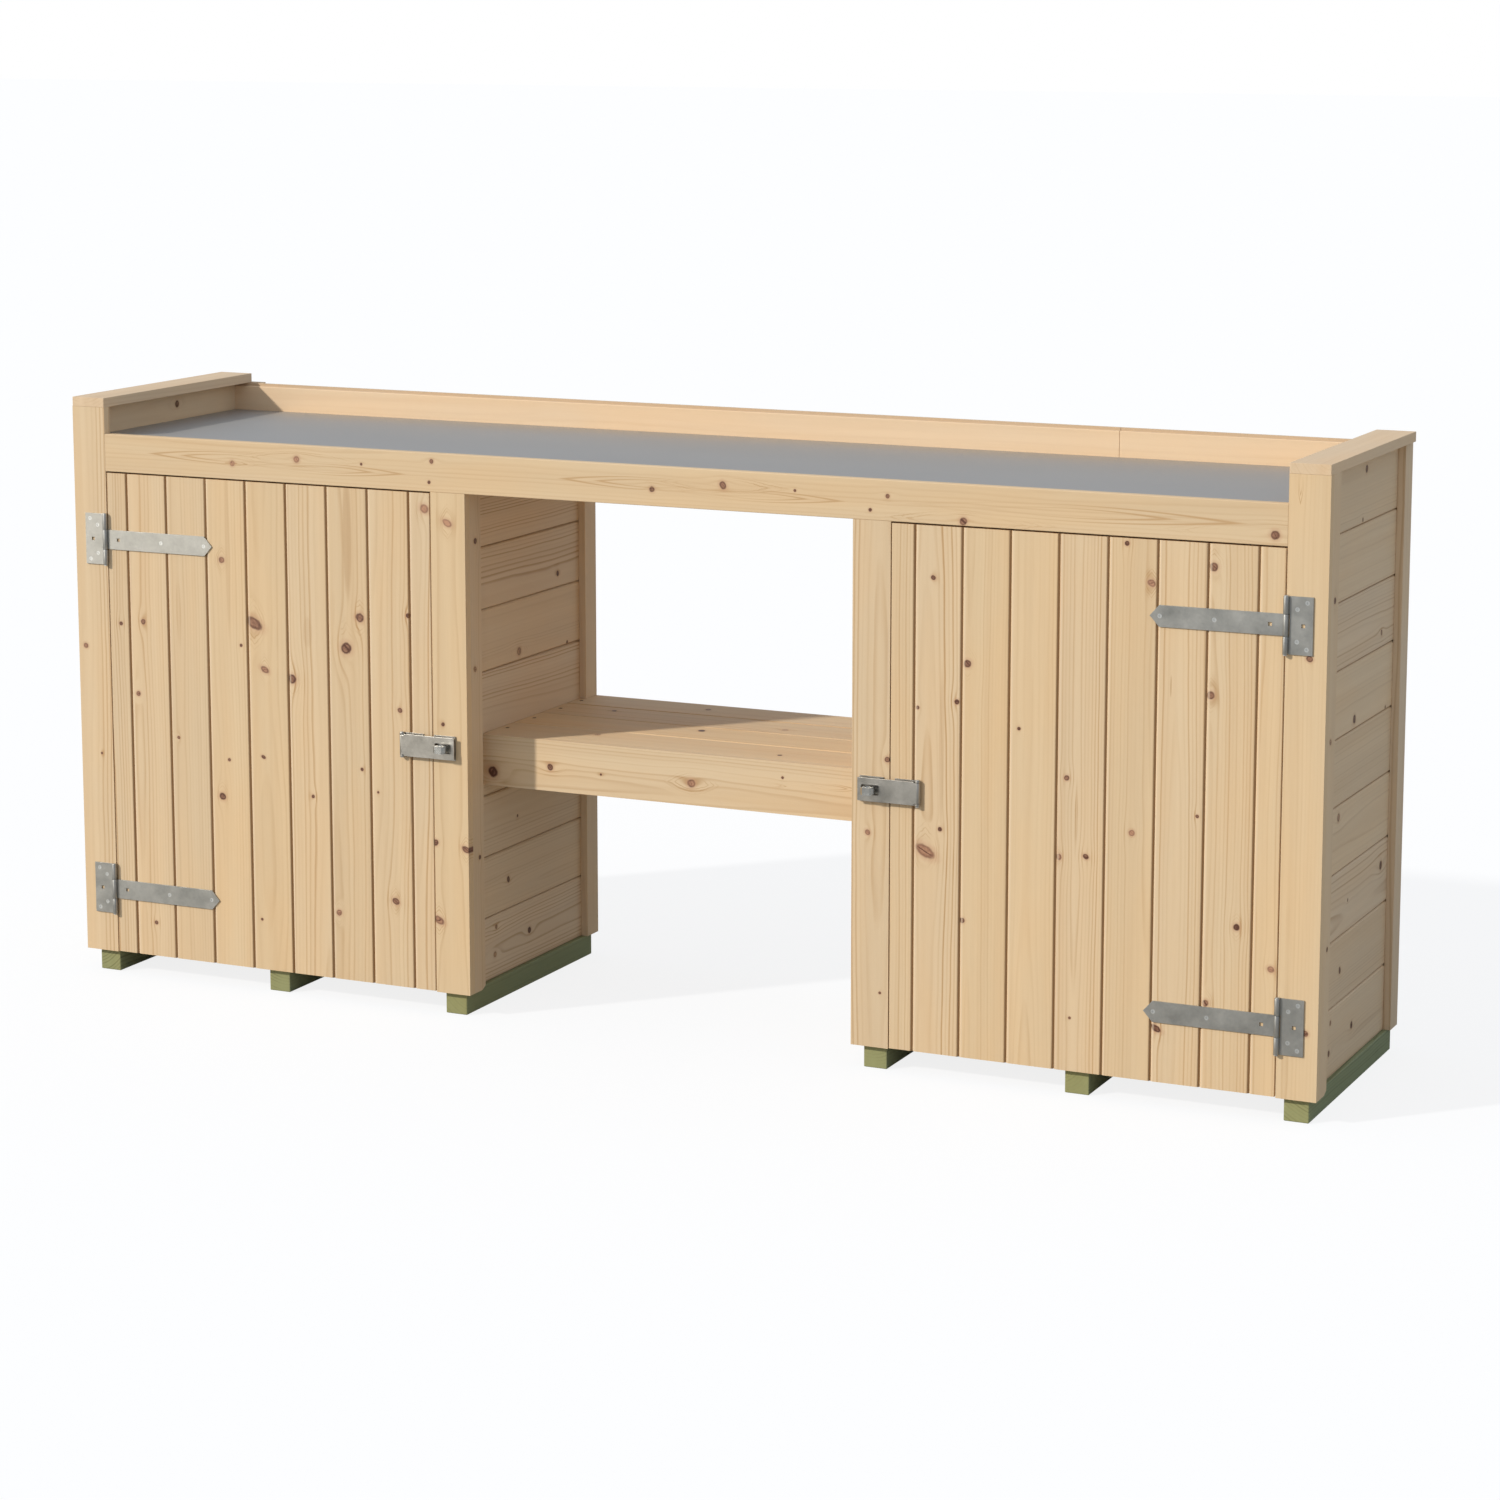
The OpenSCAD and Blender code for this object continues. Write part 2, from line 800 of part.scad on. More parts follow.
module hasp(s) {
    x = hasp_pin_x(s);
    half_tall = hasp_tall / 2;
    curl = half_tall - 2 - knuckle_gap;
    curl_x = x - hasp_knuckle_d / 2 - 0.8;
    slot_round = 3;
    color(bright_zinc)
        half(s)
            difference() {
                union() {
                    knuckle(x, hasp_y, hasp_height - curl, hasp_height + curl, hasp_knuckle_d);
                    block([curl_x, hasp_front, hasp_height - curl],
                        [x, hasp_front + metal, hasp_height + curl]);
                    block([x - hasp_length, hasp_front, hasp_height - half_tall],
                        [curl_x, hasp_front + metal, hasp_height + half_tall]);
                }
                pin_bore(x, hasp_y, hasp_height - curl, hasp_height + curl, hasp_pin_d);
                translate([eye_x(s), hasp_front + metal + cut, hasp_height])
                    rotate([90, 0, 0])
                        linear_extrude(metal + 2 * cut)
                            slot_outline(slot_length, slot_tall, slot_round);
            }
}

// Rectangle with rounded corners, centred on the origin
module slot_outline(long, tall, round_r) {
    square([long - 2 * round_r, tall], center = true);
    square([long, tall - 2 * round_r], center = true);
    for (x = [-1, 1])
        for (y = [-1, 1])
            translate([x * (long / 2 - round_r), y * (tall / 2 - round_r)])
                circle(r = round_r);
}

module eye_plate(s) {
    reach = eye_plate_size / 2;
    color(bright_zinc)
        half(s)
            difference() {
                block([eye_x(s) - reach, -metal, hasp_height - reach],
                    [eye_x(s) + reach, 0, hasp_height + reach]);
                translate([eye_x(s), -metal - cut, hasp_height])
                    rotate([-90, 0, 0])
                        cylinder(d = eye_stem_d + 2 * fit, h = metal + 2 * cut);
                for (p = eye_plate_screws)
                    countersink(eye_x(s) + p[0], -metal, hasp_height + p[1]);
            }
}

// The head lies level at rest, in line with the hasp's slot; its hole is then upright
module turning_eye(s) {
    front_cut = 5.5;
    rear_cut = 3;
    side_cut = 3;
    w = eye_width / 2;
    t = eye_thick / 2;
    head_deep = eye_reach + eye_back;
    hole_y = -(eye_reach - eye_back) / 2;
    flange_gap = 0.1;
    color(screw_steel)
        half(s)
            translate([eye_x(s), 0, hasp_height])
                difference() {
                    union() {
                        intersection() {
                            translate([0, 0, -t])
                                linear_extrude(eye_thick)
                                    polygon([
                                        [-w, eye_back - rear_cut], [rear_cut - w, eye_back],
                                        [w - rear_cut, eye_back], [w, eye_back - rear_cut],
                                        [w, front_cut - eye_reach], [w - front_cut, -eye_reach],
                                        [front_cut - w, -eye_reach], [-w, front_cut - eye_reach]
                                    ]);
                            translate([0, eye_back, 0])
                                rotate([90, 0, 0])
                                    linear_extrude(head_deep)
                                        polygon([
                                            [-w, side_cut - t], [side_cut - w, -t],
                                            [w - side_cut, -t], [w, side_cut - t],
                                            [w, t - side_cut], [w - side_cut, t],
                                            [side_cut - w, t], [-w, t - side_cut]
                                        ]);
                        }
                        translate([0, eye_back - cut, 0])
                            rotate([-90, 0, 0])
                                cylinder(d = eye_stem_d, h = cut - eye_back + eye_flange_thick);
                        translate([0, flange_gap, 0])
                            rotate([-90, 0, 0])
                                cylinder(d = eye_flange_d, h = eye_flange_thick);
                    }
                    translate([0, hole_y, -eye_thick])
                        cylinder(d = shackle_hole_d, h = 2 * eye_thick);
                }
}

// ---------------------------------------------------------------- screws

module frame_screws(s) {
    color(screw_steel)
        half(s) {
            for (z = hinge_heights)
                for (p = leaf_screws)
                    front_screw(hinge_x + p[0], -metal, z + p[1], leaf_screw_long);
            for (p = eye_plate_screws)
                front_screw(eye_x(s) + p[0], -metal, hasp_height + p[1], hasp_screw_long);
        }
}

module door_screws(s) {
    color(screw_steel)
        half(s) {
            for (z = hinge_heights)
                for (x = strap_screws)
                    front_screw(hinge_x - x, -metal, z, strap_screw_long);
            for (p = hasp_screws)
                front_screw(hasp_pin_x(s) - p[0], -metal, hasp_height + p[1], hasp_screw_long);
        }
}

// ---------------------------------------------------------------- assembly

bearer(0);  // bearer_left_outer
bearer(1);  // bearer_left_middle
bearer(2);  // bearer_left_inner
bearer(3);  // bearer_right_inner
bearer(4);  // bearer_right_middle
bearer(5);  // bearer_right_outer
floor_panel(LEFT);  // floor_left
floor_panel(RIGHT);  // floor_right
outer_wall(LEFT);  // wall_left_outer
inner_wall(LEFT);  // wall_left_inner
inner_wall(RIGHT);  // wall_right_inner
outer_wall(RIGHT);  // wall_right_outer
back_wall(LEFT);  // back_left
back_wall(RIGHT);  // back_right
posts(LEFT);  // posts_left
posts(RIGHT);  // posts_right
outer_corner(LEFT);  // corner_left_outer
inner_corner(LEFT);  // corner_left_inner
inner_corner(RIGHT);  // corner_right_inner
outer_corner(RIGHT);  // corner_right_outer
corner_strips(LEFT);  // corner_strips_left
corner_strips(RIGHT);  // corner_strips_right
rear_corners(LEFT);  // rear_corners_left
rear_corners(RIGHT);  // rear_corners_right
front_rail();
backboard();
cap(LEFT);  // cap_left
cap(RIGHT);  // cap_right
deck_battens();
deck_boards();
worktop_sheet();
shelf_cleats();
shelf_fascia();
shelf_rear_rail();
shelf_boards();
shelf_screws();
hinge_leaves(LEFT);  // hinge_leaves_left
hinge_leaves(RIGHT);  // hinge_leaves_right
hinge_pins(LEFT);  // hinge_pins_left
hinge_pins(RIGHT);  // hinge_pins_right
eye_plate(LEFT);  // eye_plate_left
eye_plate(RIGHT);  // eye_plate_right
frame_screws(LEFT);  // frame_screws_left
frame_screws(RIGHT);  // frame_screws_right
door_boards(LEFT);  // door_boards_left
door_boards(RIGHT);  // door_boards_right
door_ledges(LEFT);  // door_ledges_left
door_ledges(RIGHT);  // door_ledges_right
hinge_straps(LEFT);  // hinge_straps_left
hinge_straps(RIGHT);  // hinge_straps_right
hasp_leaf(LEFT);  // hasp_leaf_left
hasp_leaf(RIGHT);  // hasp_leaf_right
hasp_pin(LEFT);  // hasp_pin_left
hasp_pin(RIGHT);  // hasp_pin_right
door_screws(LEFT);  // door_screws_left
door_screws(RIGHT);  // door_screws_right
hasp(LEFT);  // hasp_left
hasp(RIGHT);  // hasp_right
turning_eye(LEFT);  // turning_eye_left
turning_eye(RIGHT);  // turning_eye_right
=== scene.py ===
"""Potting bench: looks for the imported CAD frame. Metres, +X along the bench, +Y to the rear, +Z up."""
import math
import random

import bpy
from mathutils import Euler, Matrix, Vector


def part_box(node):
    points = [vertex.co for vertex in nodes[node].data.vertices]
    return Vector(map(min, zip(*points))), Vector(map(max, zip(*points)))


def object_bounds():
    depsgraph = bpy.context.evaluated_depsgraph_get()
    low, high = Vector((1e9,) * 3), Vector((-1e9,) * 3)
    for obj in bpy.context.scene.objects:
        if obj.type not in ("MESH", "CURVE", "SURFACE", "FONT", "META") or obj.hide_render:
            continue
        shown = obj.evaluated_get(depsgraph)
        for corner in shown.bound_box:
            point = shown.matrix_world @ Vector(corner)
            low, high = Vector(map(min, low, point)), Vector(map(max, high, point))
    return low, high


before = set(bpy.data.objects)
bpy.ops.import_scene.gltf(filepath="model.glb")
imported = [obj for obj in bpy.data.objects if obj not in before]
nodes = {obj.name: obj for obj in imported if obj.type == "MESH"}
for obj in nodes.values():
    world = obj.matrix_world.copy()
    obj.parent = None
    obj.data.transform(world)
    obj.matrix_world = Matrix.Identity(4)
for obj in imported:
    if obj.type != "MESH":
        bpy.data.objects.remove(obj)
cad_low, cad_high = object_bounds()
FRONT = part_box("front_rail")[0].y          # the plane of the boards' front faces


# ------------------------------------------------------------------ node graphs

class Socket:
    """A float output with arithmetic, so that shader sums read as sums."""

    def __init__(self, graph, out):
        self.graph, self.out = graph, out

    def __add__(self, other): return self.graph.math("ADD", self, other)
    def __radd__(self, other): return self.graph.math("ADD", other, self)
    def __sub__(self, other): return self.graph.math("SUBTRACT", self, other)
    def __rsub__(self, other): return self.graph.math("SUBTRACT", other, self)
    def __mul__(self, other): return self.graph.math("MULTIPLY", self, other)
    def __rmul__(self, other): return self.graph.math("MULTIPLY", other, self)
    def __truediv__(self, other): return self.graph.math("DIVIDE", self, other)


class Graph:
    """Short calls that add nodes to a shader tree."""

    def __init__(self, tree):
        self.tree = tree

    def add(self, kind, inputs=None, **settings):
        node = self.tree.nodes.new(kind)
        for name, value in settings.items():
            setattr(node, name, value)
        self.fill(node, inputs or {})
        return node

    def fill(self, node, inputs):
        for key, value in inputs.items():
            self.set(node.inputs[key], value)

    def set(self, socket, value):
        if isinstance(value, Socket):
            value = value.out
        if isinstance(value, bpy.types.NodeSocket):
            self.tree.links.new(value, socket)
        elif socket.type == "RGBA" and len(value) == 3:
            socket.default_value = (*value, 1.0)
        else:
            socket.default_value = value

    def math(self, operation, *values, clamp=False):
        node = self.add("ShaderNodeMath", dict(enumerate(values)), operation=operation, use_clamp=clamp)
        return Socket(self, node.outputs[0])

    def vector(self, x, y, z):
        return self.add("ShaderNodeCombineXYZ", {0: x, 1: y, 2: z}).outputs[0]

    def split(self, vector):
        node = self.add("ShaderNodeSeparateXYZ", {0: vector})
        return [Socket(self, out) for out in node.outputs]

    def limit(self, value, low, high):
        return self.math("MINIMUM", self.math("MAXIMUM", value, low), high)

    def noise(self, vector, scale=1.0, detail=2.0, roughness=0.5):
        node = self.add("ShaderNodeTexNoise", {"Vector": vector, "Scale": scale, "Detail": detail,
                                               "Roughness": roughness})
        return Socket(self, node.outputs["Fac"]) - 0.5

    def random(self, value):
        """Three random numbers from 0 to 1 for each value."""
        node = self.add("ShaderNodeTexWhiteNoise", {"W": value}, noise_dimensions="1D")
        parts = self.add("ShaderNodeSeparateColor", {0: node.outputs["Color"]})
        return [Socket(self, out) for out in parts.outputs[:3]]

    def step(self, value, low, high, start=0.0, end=1.0):
        """Smooth ramp from start to end as value goes from low to high."""
        node = self.add("ShaderNodeMapRange", {0: value, 1: low, 2: high, 3: start, 4: end},
                        interpolation_type="SMOOTHSTEP")
        return Socket(self, node.outputs[0])

    def mix(self, factor, a, b, blend="MIX"):
        node = self.add("ShaderNodeMix", {"Factor": factor}, data_type="RGBA", blend_type=blend)
        self.set(node.inputs[6], a)
        self.set(node.inputs[7], b)
        return node.outputs[2]

    def lens(self, p, q):
        """Size of the pointed oval through (p, q): as wide as it is long, with its tips on the p axis."""
        q = self.math("ABSOLUTE", q)
        return (q + self.math("SQRT", q * q + p * p * 4.0)) * 0.5

    def table(self, index, rows):
        """Looks up row number index: four numbers from 0 to 1."""
        node = self.add("ShaderNodeValToRGB", {0: (index + 0.5) / len(rows)})
        ramp = node.color_ramp
        ramp.interpolation = "CONSTANT"
        for i, row in enumerate(rows):
            stop = ramp.elements[i] if i < 2 else ramp.elements.new(i / len(rows))
            stop.position = i / len(rows)
            stop.color = row
        if len(rows) == 1:
            ramp.elements.remove(ramp.elements[1])
        parts = self.add("ShaderNodeSeparateColor", {0: node.outputs["Color"]})
        return [Socket(self, out) for out in parts.outputs[:3]] + [Socket(self, node.outputs["Alpha"])]


def linear(r, g, b):
    """Linear colour of an sRGB colour given from 0 to 255."""
    return tuple((c / 255 / 12.92) if c <= 10 else ((c / 255 + 0.055) / 1.055) ** 2.4 for c in (r, g, b))


def new_material(name):
    """An empty material, and the graph that fills it."""
    material = bpy.data.materials.new(name)
    material.use_nodes = True
    material.node_tree.nodes.clear()
    return material, Graph(material.node_tree)


def new_group(name, inputs, outputs):
    """A node group whose inputs and outputs are numbers, or colours where the name starts with C_."""
    group = bpy.data.node_groups.new(name, "ShaderNodeTree")
    for names, way in ((inputs, "INPUT"), (outputs, "OUTPUT")):
        for label in names:
            kind = "NodeSocketColor" if label.startswith("C_") else "NodeSocketFloat"
            group.interface.new_socket(label, in_out=way, socket_type=kind)
    graph = Graph(group)
    source = graph.add("NodeGroupInput")
    sink = graph.add("NodeGroupOutput")
    return group, graph, {label: Socket(graph, source.outputs[label]) for label in inputs}, sink


# ------------------------------------------------------------------ wood

KNOT_TURN = math.radians(28)                # how far a stretched knot leans from straight across its board
KNOT_STATE = {"Shift": 0.0, "Lift": 0.0, "Near": 9.0, "Loop": 9.0, "Tone": 0.5, "Crack": 0.0}
# Painted shade and dust beside a joint, and a painted highlight on the edge beyond a deep joint
JOINT_SHADE_AND_DUST_COLOUR, LIP_PAINTED_HIGHLIGHT_COLOUR = linear(136, 94, 50), linear(242, 216, 182)


def knot_group():
    """Adds one knot to a board: how far it bends the grain sideways and lifts it, the distance to its middle
    and to the grain that loops round it, its tone, and the crack across it."""
    group, g, given, sink = new_group(
        "knot", ["Along", "Across", "KnotAlong", "KnotAcross", "Radius", "Stretch", "Long", *KNOT_STATE],
        list(KNOT_STATE))
    radius = given["Radius"]
    along = (given["Along"] - given["KnotAlong"]) / radius
    across = (given["Across"] - given["KnotAcross"]) / radius
    tone, turn, depth = g.random(given["KnotAlong"] * 173.0 + given["KnotAcross"] * 911.0)
    # The grain bends and rises beside it, and loops round a big one
    far_along, far_across = along / 6.0, across / 2.6
    bell = g.math("EXPONENT", (far_along * far_along + far_across * far_across) * -1.0)
    loop = g.lens(along / given["Long"], across) + g.step(radius, 0.0040, 0.0060, 9.0, 0.0)
    # Distance from its middle, in radii
    major = (across * math.cos(KNOT_TURN) - along * math.sin(KNOT_TURN)) / given["Stretch"]
    minor = along * math.cos(KNOT_TURN) + across * math.sin(KNOT_TURN)
    near = g.math("SQRT", major * major + minor * minor)
    closer = g.math("LESS_THAN", near, given["Near"])
    # A wavy crack through the middle of a big one
    lean = turn * 1.3 - 0.9
    wave = g.math("SINE", (across + along) * 2.6 + turn * 9.0) * 0.16
    line = g.math("ABSOLUTE", across * g.math("SINE", lean) - along * g.math("COSINE", lean) + wave)
    crack = g.step(line, 0.05, 0.22, depth * depth, 0.0) * g.step(radius, 0.0030, 0.0048)
    crack = crack * g.step(near, 0.45, 0.95, 1.0, 0.0)
    tone = tone * g.step(radius, 0.0025, 0.0060, 0.25, 0.85)
    g.fill(sink, {
        "Shift": given["Shift"] - across * bell * radius * 0.6,
        "Lift": given["Lift"] + bell * bell * radius * 0.9,
        "Near": g.math("MINIMUM", given["Near"], near),
        "Loop": g.math("MINIMUM", given["Loop"], loop),
        "Tone": given["Tone"] + (tone - given["Tone"]) * closer,
        "Crack": given["Crack"] + (crack - given["Crack"]) * closer})
    return group


def grain_group():
    """Softwood sawn from a log: growth rings round a pith that wanders under the board, and knots."""
    group, g, given, sink = new_group(
        "grain",
        ["Along", "Across", "Depth", "Board", *KNOT_STATE, "Joint", "ShadeAndDustReach", "ShadeAndDustStrength", "LipHighlight", "Ring", "Contrast",
         "C_early", "C_late", "C_knot", "C_core"],
        ["C_colour", "Height", "Rough"])
    across, depth, board = given["Across"], given["Depth"], given["Board"]
    # What chance gives each board: where in the log it lay, its slope, and how light and bold it is
    start, aside, below = g.random(board)
    slope, lightness, boldness = g.random(board + 0.37)
    along = given["Along"] + start * 40.0
    wander = g.noise(g.vector(along * 1.3, across * 4.0, board), detail=1.0)
    ripple = g.noise(g.vector(along * 7.0, across * 30.0, depth * 30.0), detail=2.0)
    # Growth rings, each with a dark late edge
    side = across + given["Shift"] - (aside - 0.5) * 0.10 + wander * 0.012
    deep = depth + 0.010 + below * below * 0.055 + wander * 0.034 + given["Lift"]
    deep = deep + (slope - 0.5) * 0.012 * given["Along"]
    radius = g.math("SQRT", side * side + deep * deep)
    ring = (radius + ripple * 0.0030) / given["Ring"]
    share = g.math("FRACT", ring)
    weight = g.random(g.math("FLOOR", ring) + board * 3.0)[0]
    late = g.step(share, 0.42, 0.82) * g.step(share, 0.84, 1.0, 1.0, 0.0)
    flat = g.step(g.math("ABSOLUTE", side) / radius, 0.0, 0.40, 0.30, 1.0)
    late = late * flat * (0.12 + weight * weight * 0.88)
    # Loops of grain round a knot
    edge = g.noise(g.vector(given["Along"] * 130.0, across * 130.0, board), detail=1.0)
    loop = given["Loop"] + ripple * 1.5 + edge * 0.35
    loops = g.math("MAXIMUM", g.math("SINE", loop * 12.0) - 0.35, 0.0)
    loops = loops * g.step(loop, 1.15, 1.5) * g.step(loop, 1.8, 3.2, 1.0, 0.0) * (0.3 + given["Tone"])
    loops = loops * g.step(ripple, -0.08, 0.14)
    # Fibre, streaks, clouds and bands
    fibre = g.noise(g.vector(along * 16.0, across * 620.0, depth * 620.0), detail=3.0, roughness=0.6)
    streak = g.noise(g.vector(along * 2.2, across * 90.0, depth * 90.0 + start * 9.0), detail=3.0)
    cloud = g.noise(g.vector(along * 3.0, across * 14.0, aside * 30.0), detail=2.0)
    band = g.noise(g.vector(along * 0.7, across * 42.0, start * 50.0), detail=2.0)
    # Clear wood: early to late, then warmer or cooler, then lighter or darker
    close = g.step(given["Near"], 1.0, 4.5, 1.0, 0.0)
    strong = given["Contrast"] * (0.42 + boldness * boldness * 1.05) * (1.0 + close * 1.1)
    amount = late * strong + loops * 1.2 + band * 0.42 + streak * 0.26 + fibre * 0.16 + 0.09
    colour = g.mix(g.math("MULTIPLY", amount, 1.0, clamp=True), given["C_early"], given["C_late"])
    warm = g.mix(g.step(cloud, -0.22, 0.28), (0.985, 1.0, 1.02), (1.0, 0.972, 0.935))
    colour = g.mix(1.0, colour, warm, "MULTIPLY")
    hue = g.mix(boldness, (1.0, 0.985, 0.955), (0.99, 1.0, 1.03))
    colour = g.mix(1.0, colour, hue, "MULTIPLY")
    tone = 0.962 + lightness * 0.060 + cloud * 0.05
    grey = g.add("ShaderNodeCombineColor", {0: tone, 1: tone, 2: tone}).outputs[0]
    colour = g.mix(1.0, colour, grey, "MULTIPLY")
    # Knot: faint halo, dark rim, rings and a crack
    fleck = g.noise(g.vector(given["Along"] * 420.0, across * 420.0, board), detail=2.0)
    near = given["Near"] + edge * 0.36
    colour = g.mix(g.step(near, 0.9, 2.0, 0.42, 0.0), colour, given["C_knot"])
    inside = g.step(near, 0.74, 1.14, 1.0, 0.0)
    turns = g.math("SINE", near * 14.0 + edge * 6.0) * 0.5 + 0.5
    rim = g.step(near, 0.45, 0.86, 0.0, 0.42)
    dark = rim + turns * 0.12 + given["Crack"] * 0.7 + fleck * 0.5 + edge * 0.5
    dark = g.math("ADD", dark, 0.86 - given["Tone"], clamp=True)
    colour = g.mix(inside, colour, g.mix(dark, given["C_knot"], given["C_core"]))
    # Painted shade and dust darken the board beside a joint, and a painted highlight lightens the edge beyond
    # a deep one
    joint = g.step(given["Joint"], 0.0010, given["ShadeAndDustReach"], 1.0, 0.0) * given["ShadeAndDustStrength"]
    colour = g.mix(joint, colour, JOINT_SHADE_AND_DUST_COLOUR)
    colour = g.mix(given["LipHighlight"], colour, LIP_PAINTED_HIGHLIGHT_COLOUR)
    g.fill(sink, {
        "C_colour": colour,
        "Height": late * 0.20 + fibre * 0.6 + inside * turns * 0.4,
        "Rough": 0.66 - late * 0.08 - inside * 0.16 + fibre * 0.12})
    return group


KNOT = knot_group()
GRAIN = grain_group()
NO_KNOT = (-9.0, 0.0, 0.0002, 1.0)          # too far off and too small to show
KNOT_SPAN = (1.4, 0.08, 0.024, 3.0)         # half length, half width, radius and stretch that a table spans
STAIN = (0.72, 0.62, 0.52)
SLANT_BOARD = 5.0                           # added to a slanted part's number, for a grain of its own
# NO_JOINT: a distance that neither the painted joint shade nor the dust reaches
NO_JOINT = 1.0                              # a distance that no dust reaches
# How far the painted shade and dust reach from a joint on each side, and how strongly they show
JOINT_SHADE_AND_DUST = {"deep": (0.0062, 0.76), "fine": (0.0036, 0.76), "soft": (0.0022, 0.25), "faint": (0.0014, 0.0),
        None: (0.0036, 0.0)}

PALE = {"C_early": linear(225, 195, 153), "C_late": linear(190, 149, 101),
        "C_knot": linear(198, 154, 114), "C_core": linear(90, 58, 36)}
PINK = dict(PALE, C_knot=linear(194, 144, 110), C_core=linear(94, 58, 42))
# The caps' pale wood with a painted cool tint, for the sky light that falls on their tops
PALE_PAINTED_SKYLIGHT = dict(PALE, C_early=linear(228, 200, 164))
GOLD = dict(PALE, C_early=linear(237, 205, 165), C_late=linear(208, 166, 120))
TAN = dict(PALE, C_early=linear(226, 199, 162), C_late=linear(190, 153, 112))
GREEN = {"C_early": linear(144, 150, 110), "C_late": linear(114, 117, 80),
         "C_knot": linear(112, 98, 62), "C_core": linear(64, 54, 38)}


def knot_rows(cells, slot):
    """The table of one knot per cell, packed into the range 0 to 1."""
    reach, half_width, most, longest = KNOT_SPAN
    rows = []
    for knots in cells:
        along, across, radius, stretch = knots[slot] if slot < len(knots) else NO_KNOT
        along = max(-reach, min(reach, along))
        rows.append((along / reach / 2 + 0.5, across / half_width / 2 + 0.5, radius / most,
                     stretch / longest))
    return rows


def add_knots(g, along, local, row, cells, long):
    """Chains the knots of the cell in a row, and returns what they do to the grain there."""
    reach, half_width, most, longest = KNOT_SPAN
    state = dict(KNOT_STATE)
    for slot in range(max(len(cell) for cell in cells)):
        knot_along, knot_across, radius, stretch = g.table(row, knot_rows(cells, slot))
        node = g.add("ShaderNodeGroup", {
            "Along": along, "Across": local, "KnotAlong": (knot_along - 0.5) * (2 * reach),
            "KnotAcross": (knot_across - 0.5) * (2 * half_width), "Radius": radius * most,
            "Stretch": stretch * longest, "Long": long, **state}, node_tree=KNOT)
        state = {key: Socket(g, node.outputs[key]) for key in KNOT_STATE}
    return state


def read_axis(parts, text):
    """An axis named as x, -y and so on, of the object's coordinates."""
    value = parts["xyz".index(text[-1])]
    return value * -1.0 if text[0] == "-" else value


def slant(g, along, across, local, index, tilt):
    """Turns the grain between two heights, where a slanted part lies."""
    low, high, turn = tilt
    inside = g.step(across, low - 0.0005, low) * g.step(across, high, high + 0.0005, 1.0, 0.0)
    turned_along = along * math.cos(turn) + across * math.sin(turn)
    turned_across = across * math.cos(turn) - along * math.sin(turn)
    along = along + (turned_along - along) * inside
    local = local + (turned_across - local) * inside
    return along, local, index + inside * SLANT_BOARD


def joint_shade(g, local, width, joints):
    """Distance to the joint, which sets where painted shade and dust darken the board, and how strongly a
    painted highlight shows on the edge beyond a deep joint.
    """
    if joints != "deep":
        return width / 2 - g.math("ABSOLUTE", local), 0.0
    # A painted highlight on the edge of the board beyond a deep joint, from 1 to 7.5 mm past it
    away = local + width / 2
    lip_highlight = g.step(away, 0.0012, 0.0034) * g.step(away, 0.0034, 0.0075, 0.45, 0.0)
    # Deep joints take painted shade on one side only, the side that faces away from the key light
    return width / 2 - local, lip_highlight


def add_stain(g, colour, along, across, mark):
    """A soft oval stain."""
    middle_along, middle_across, half_length, half_width, strength = mark
    p, q = (along - middle_along) / half_length, (across - middle_across) / half_width
    spread = g.step(p * p + q * q, 0.35, 1.0, strength, 0.0)
    return g.mix(spread, colour, STAIN, "MULTIPLY")


def add_loops(g, colour, late, along, local, loops):
    """Two pointed loops of late wood, one in the other, faint but on one side."""
    middle_along, middle_across, half_length, half_width, side = loops
    p, q = (along - middle_along) / half_length, (local - middle_across) / half_width
    size = g.lens(p, q)
    thin = 0.10 + g.math("ABSOLUTE", p) * 0.04
    line = g.math("MINIMUM", g.math("ABSOLUTE", size - 1.0), g.math("ABSOLUTE", size - 0.58))
    seen = g.step(line / thin, 0.0, 1.0, 0.8, 0.0) * g.step(p * side, -0.5, 0.5, 0.15, 1.0)
    return g.mix(seen, colour, late)


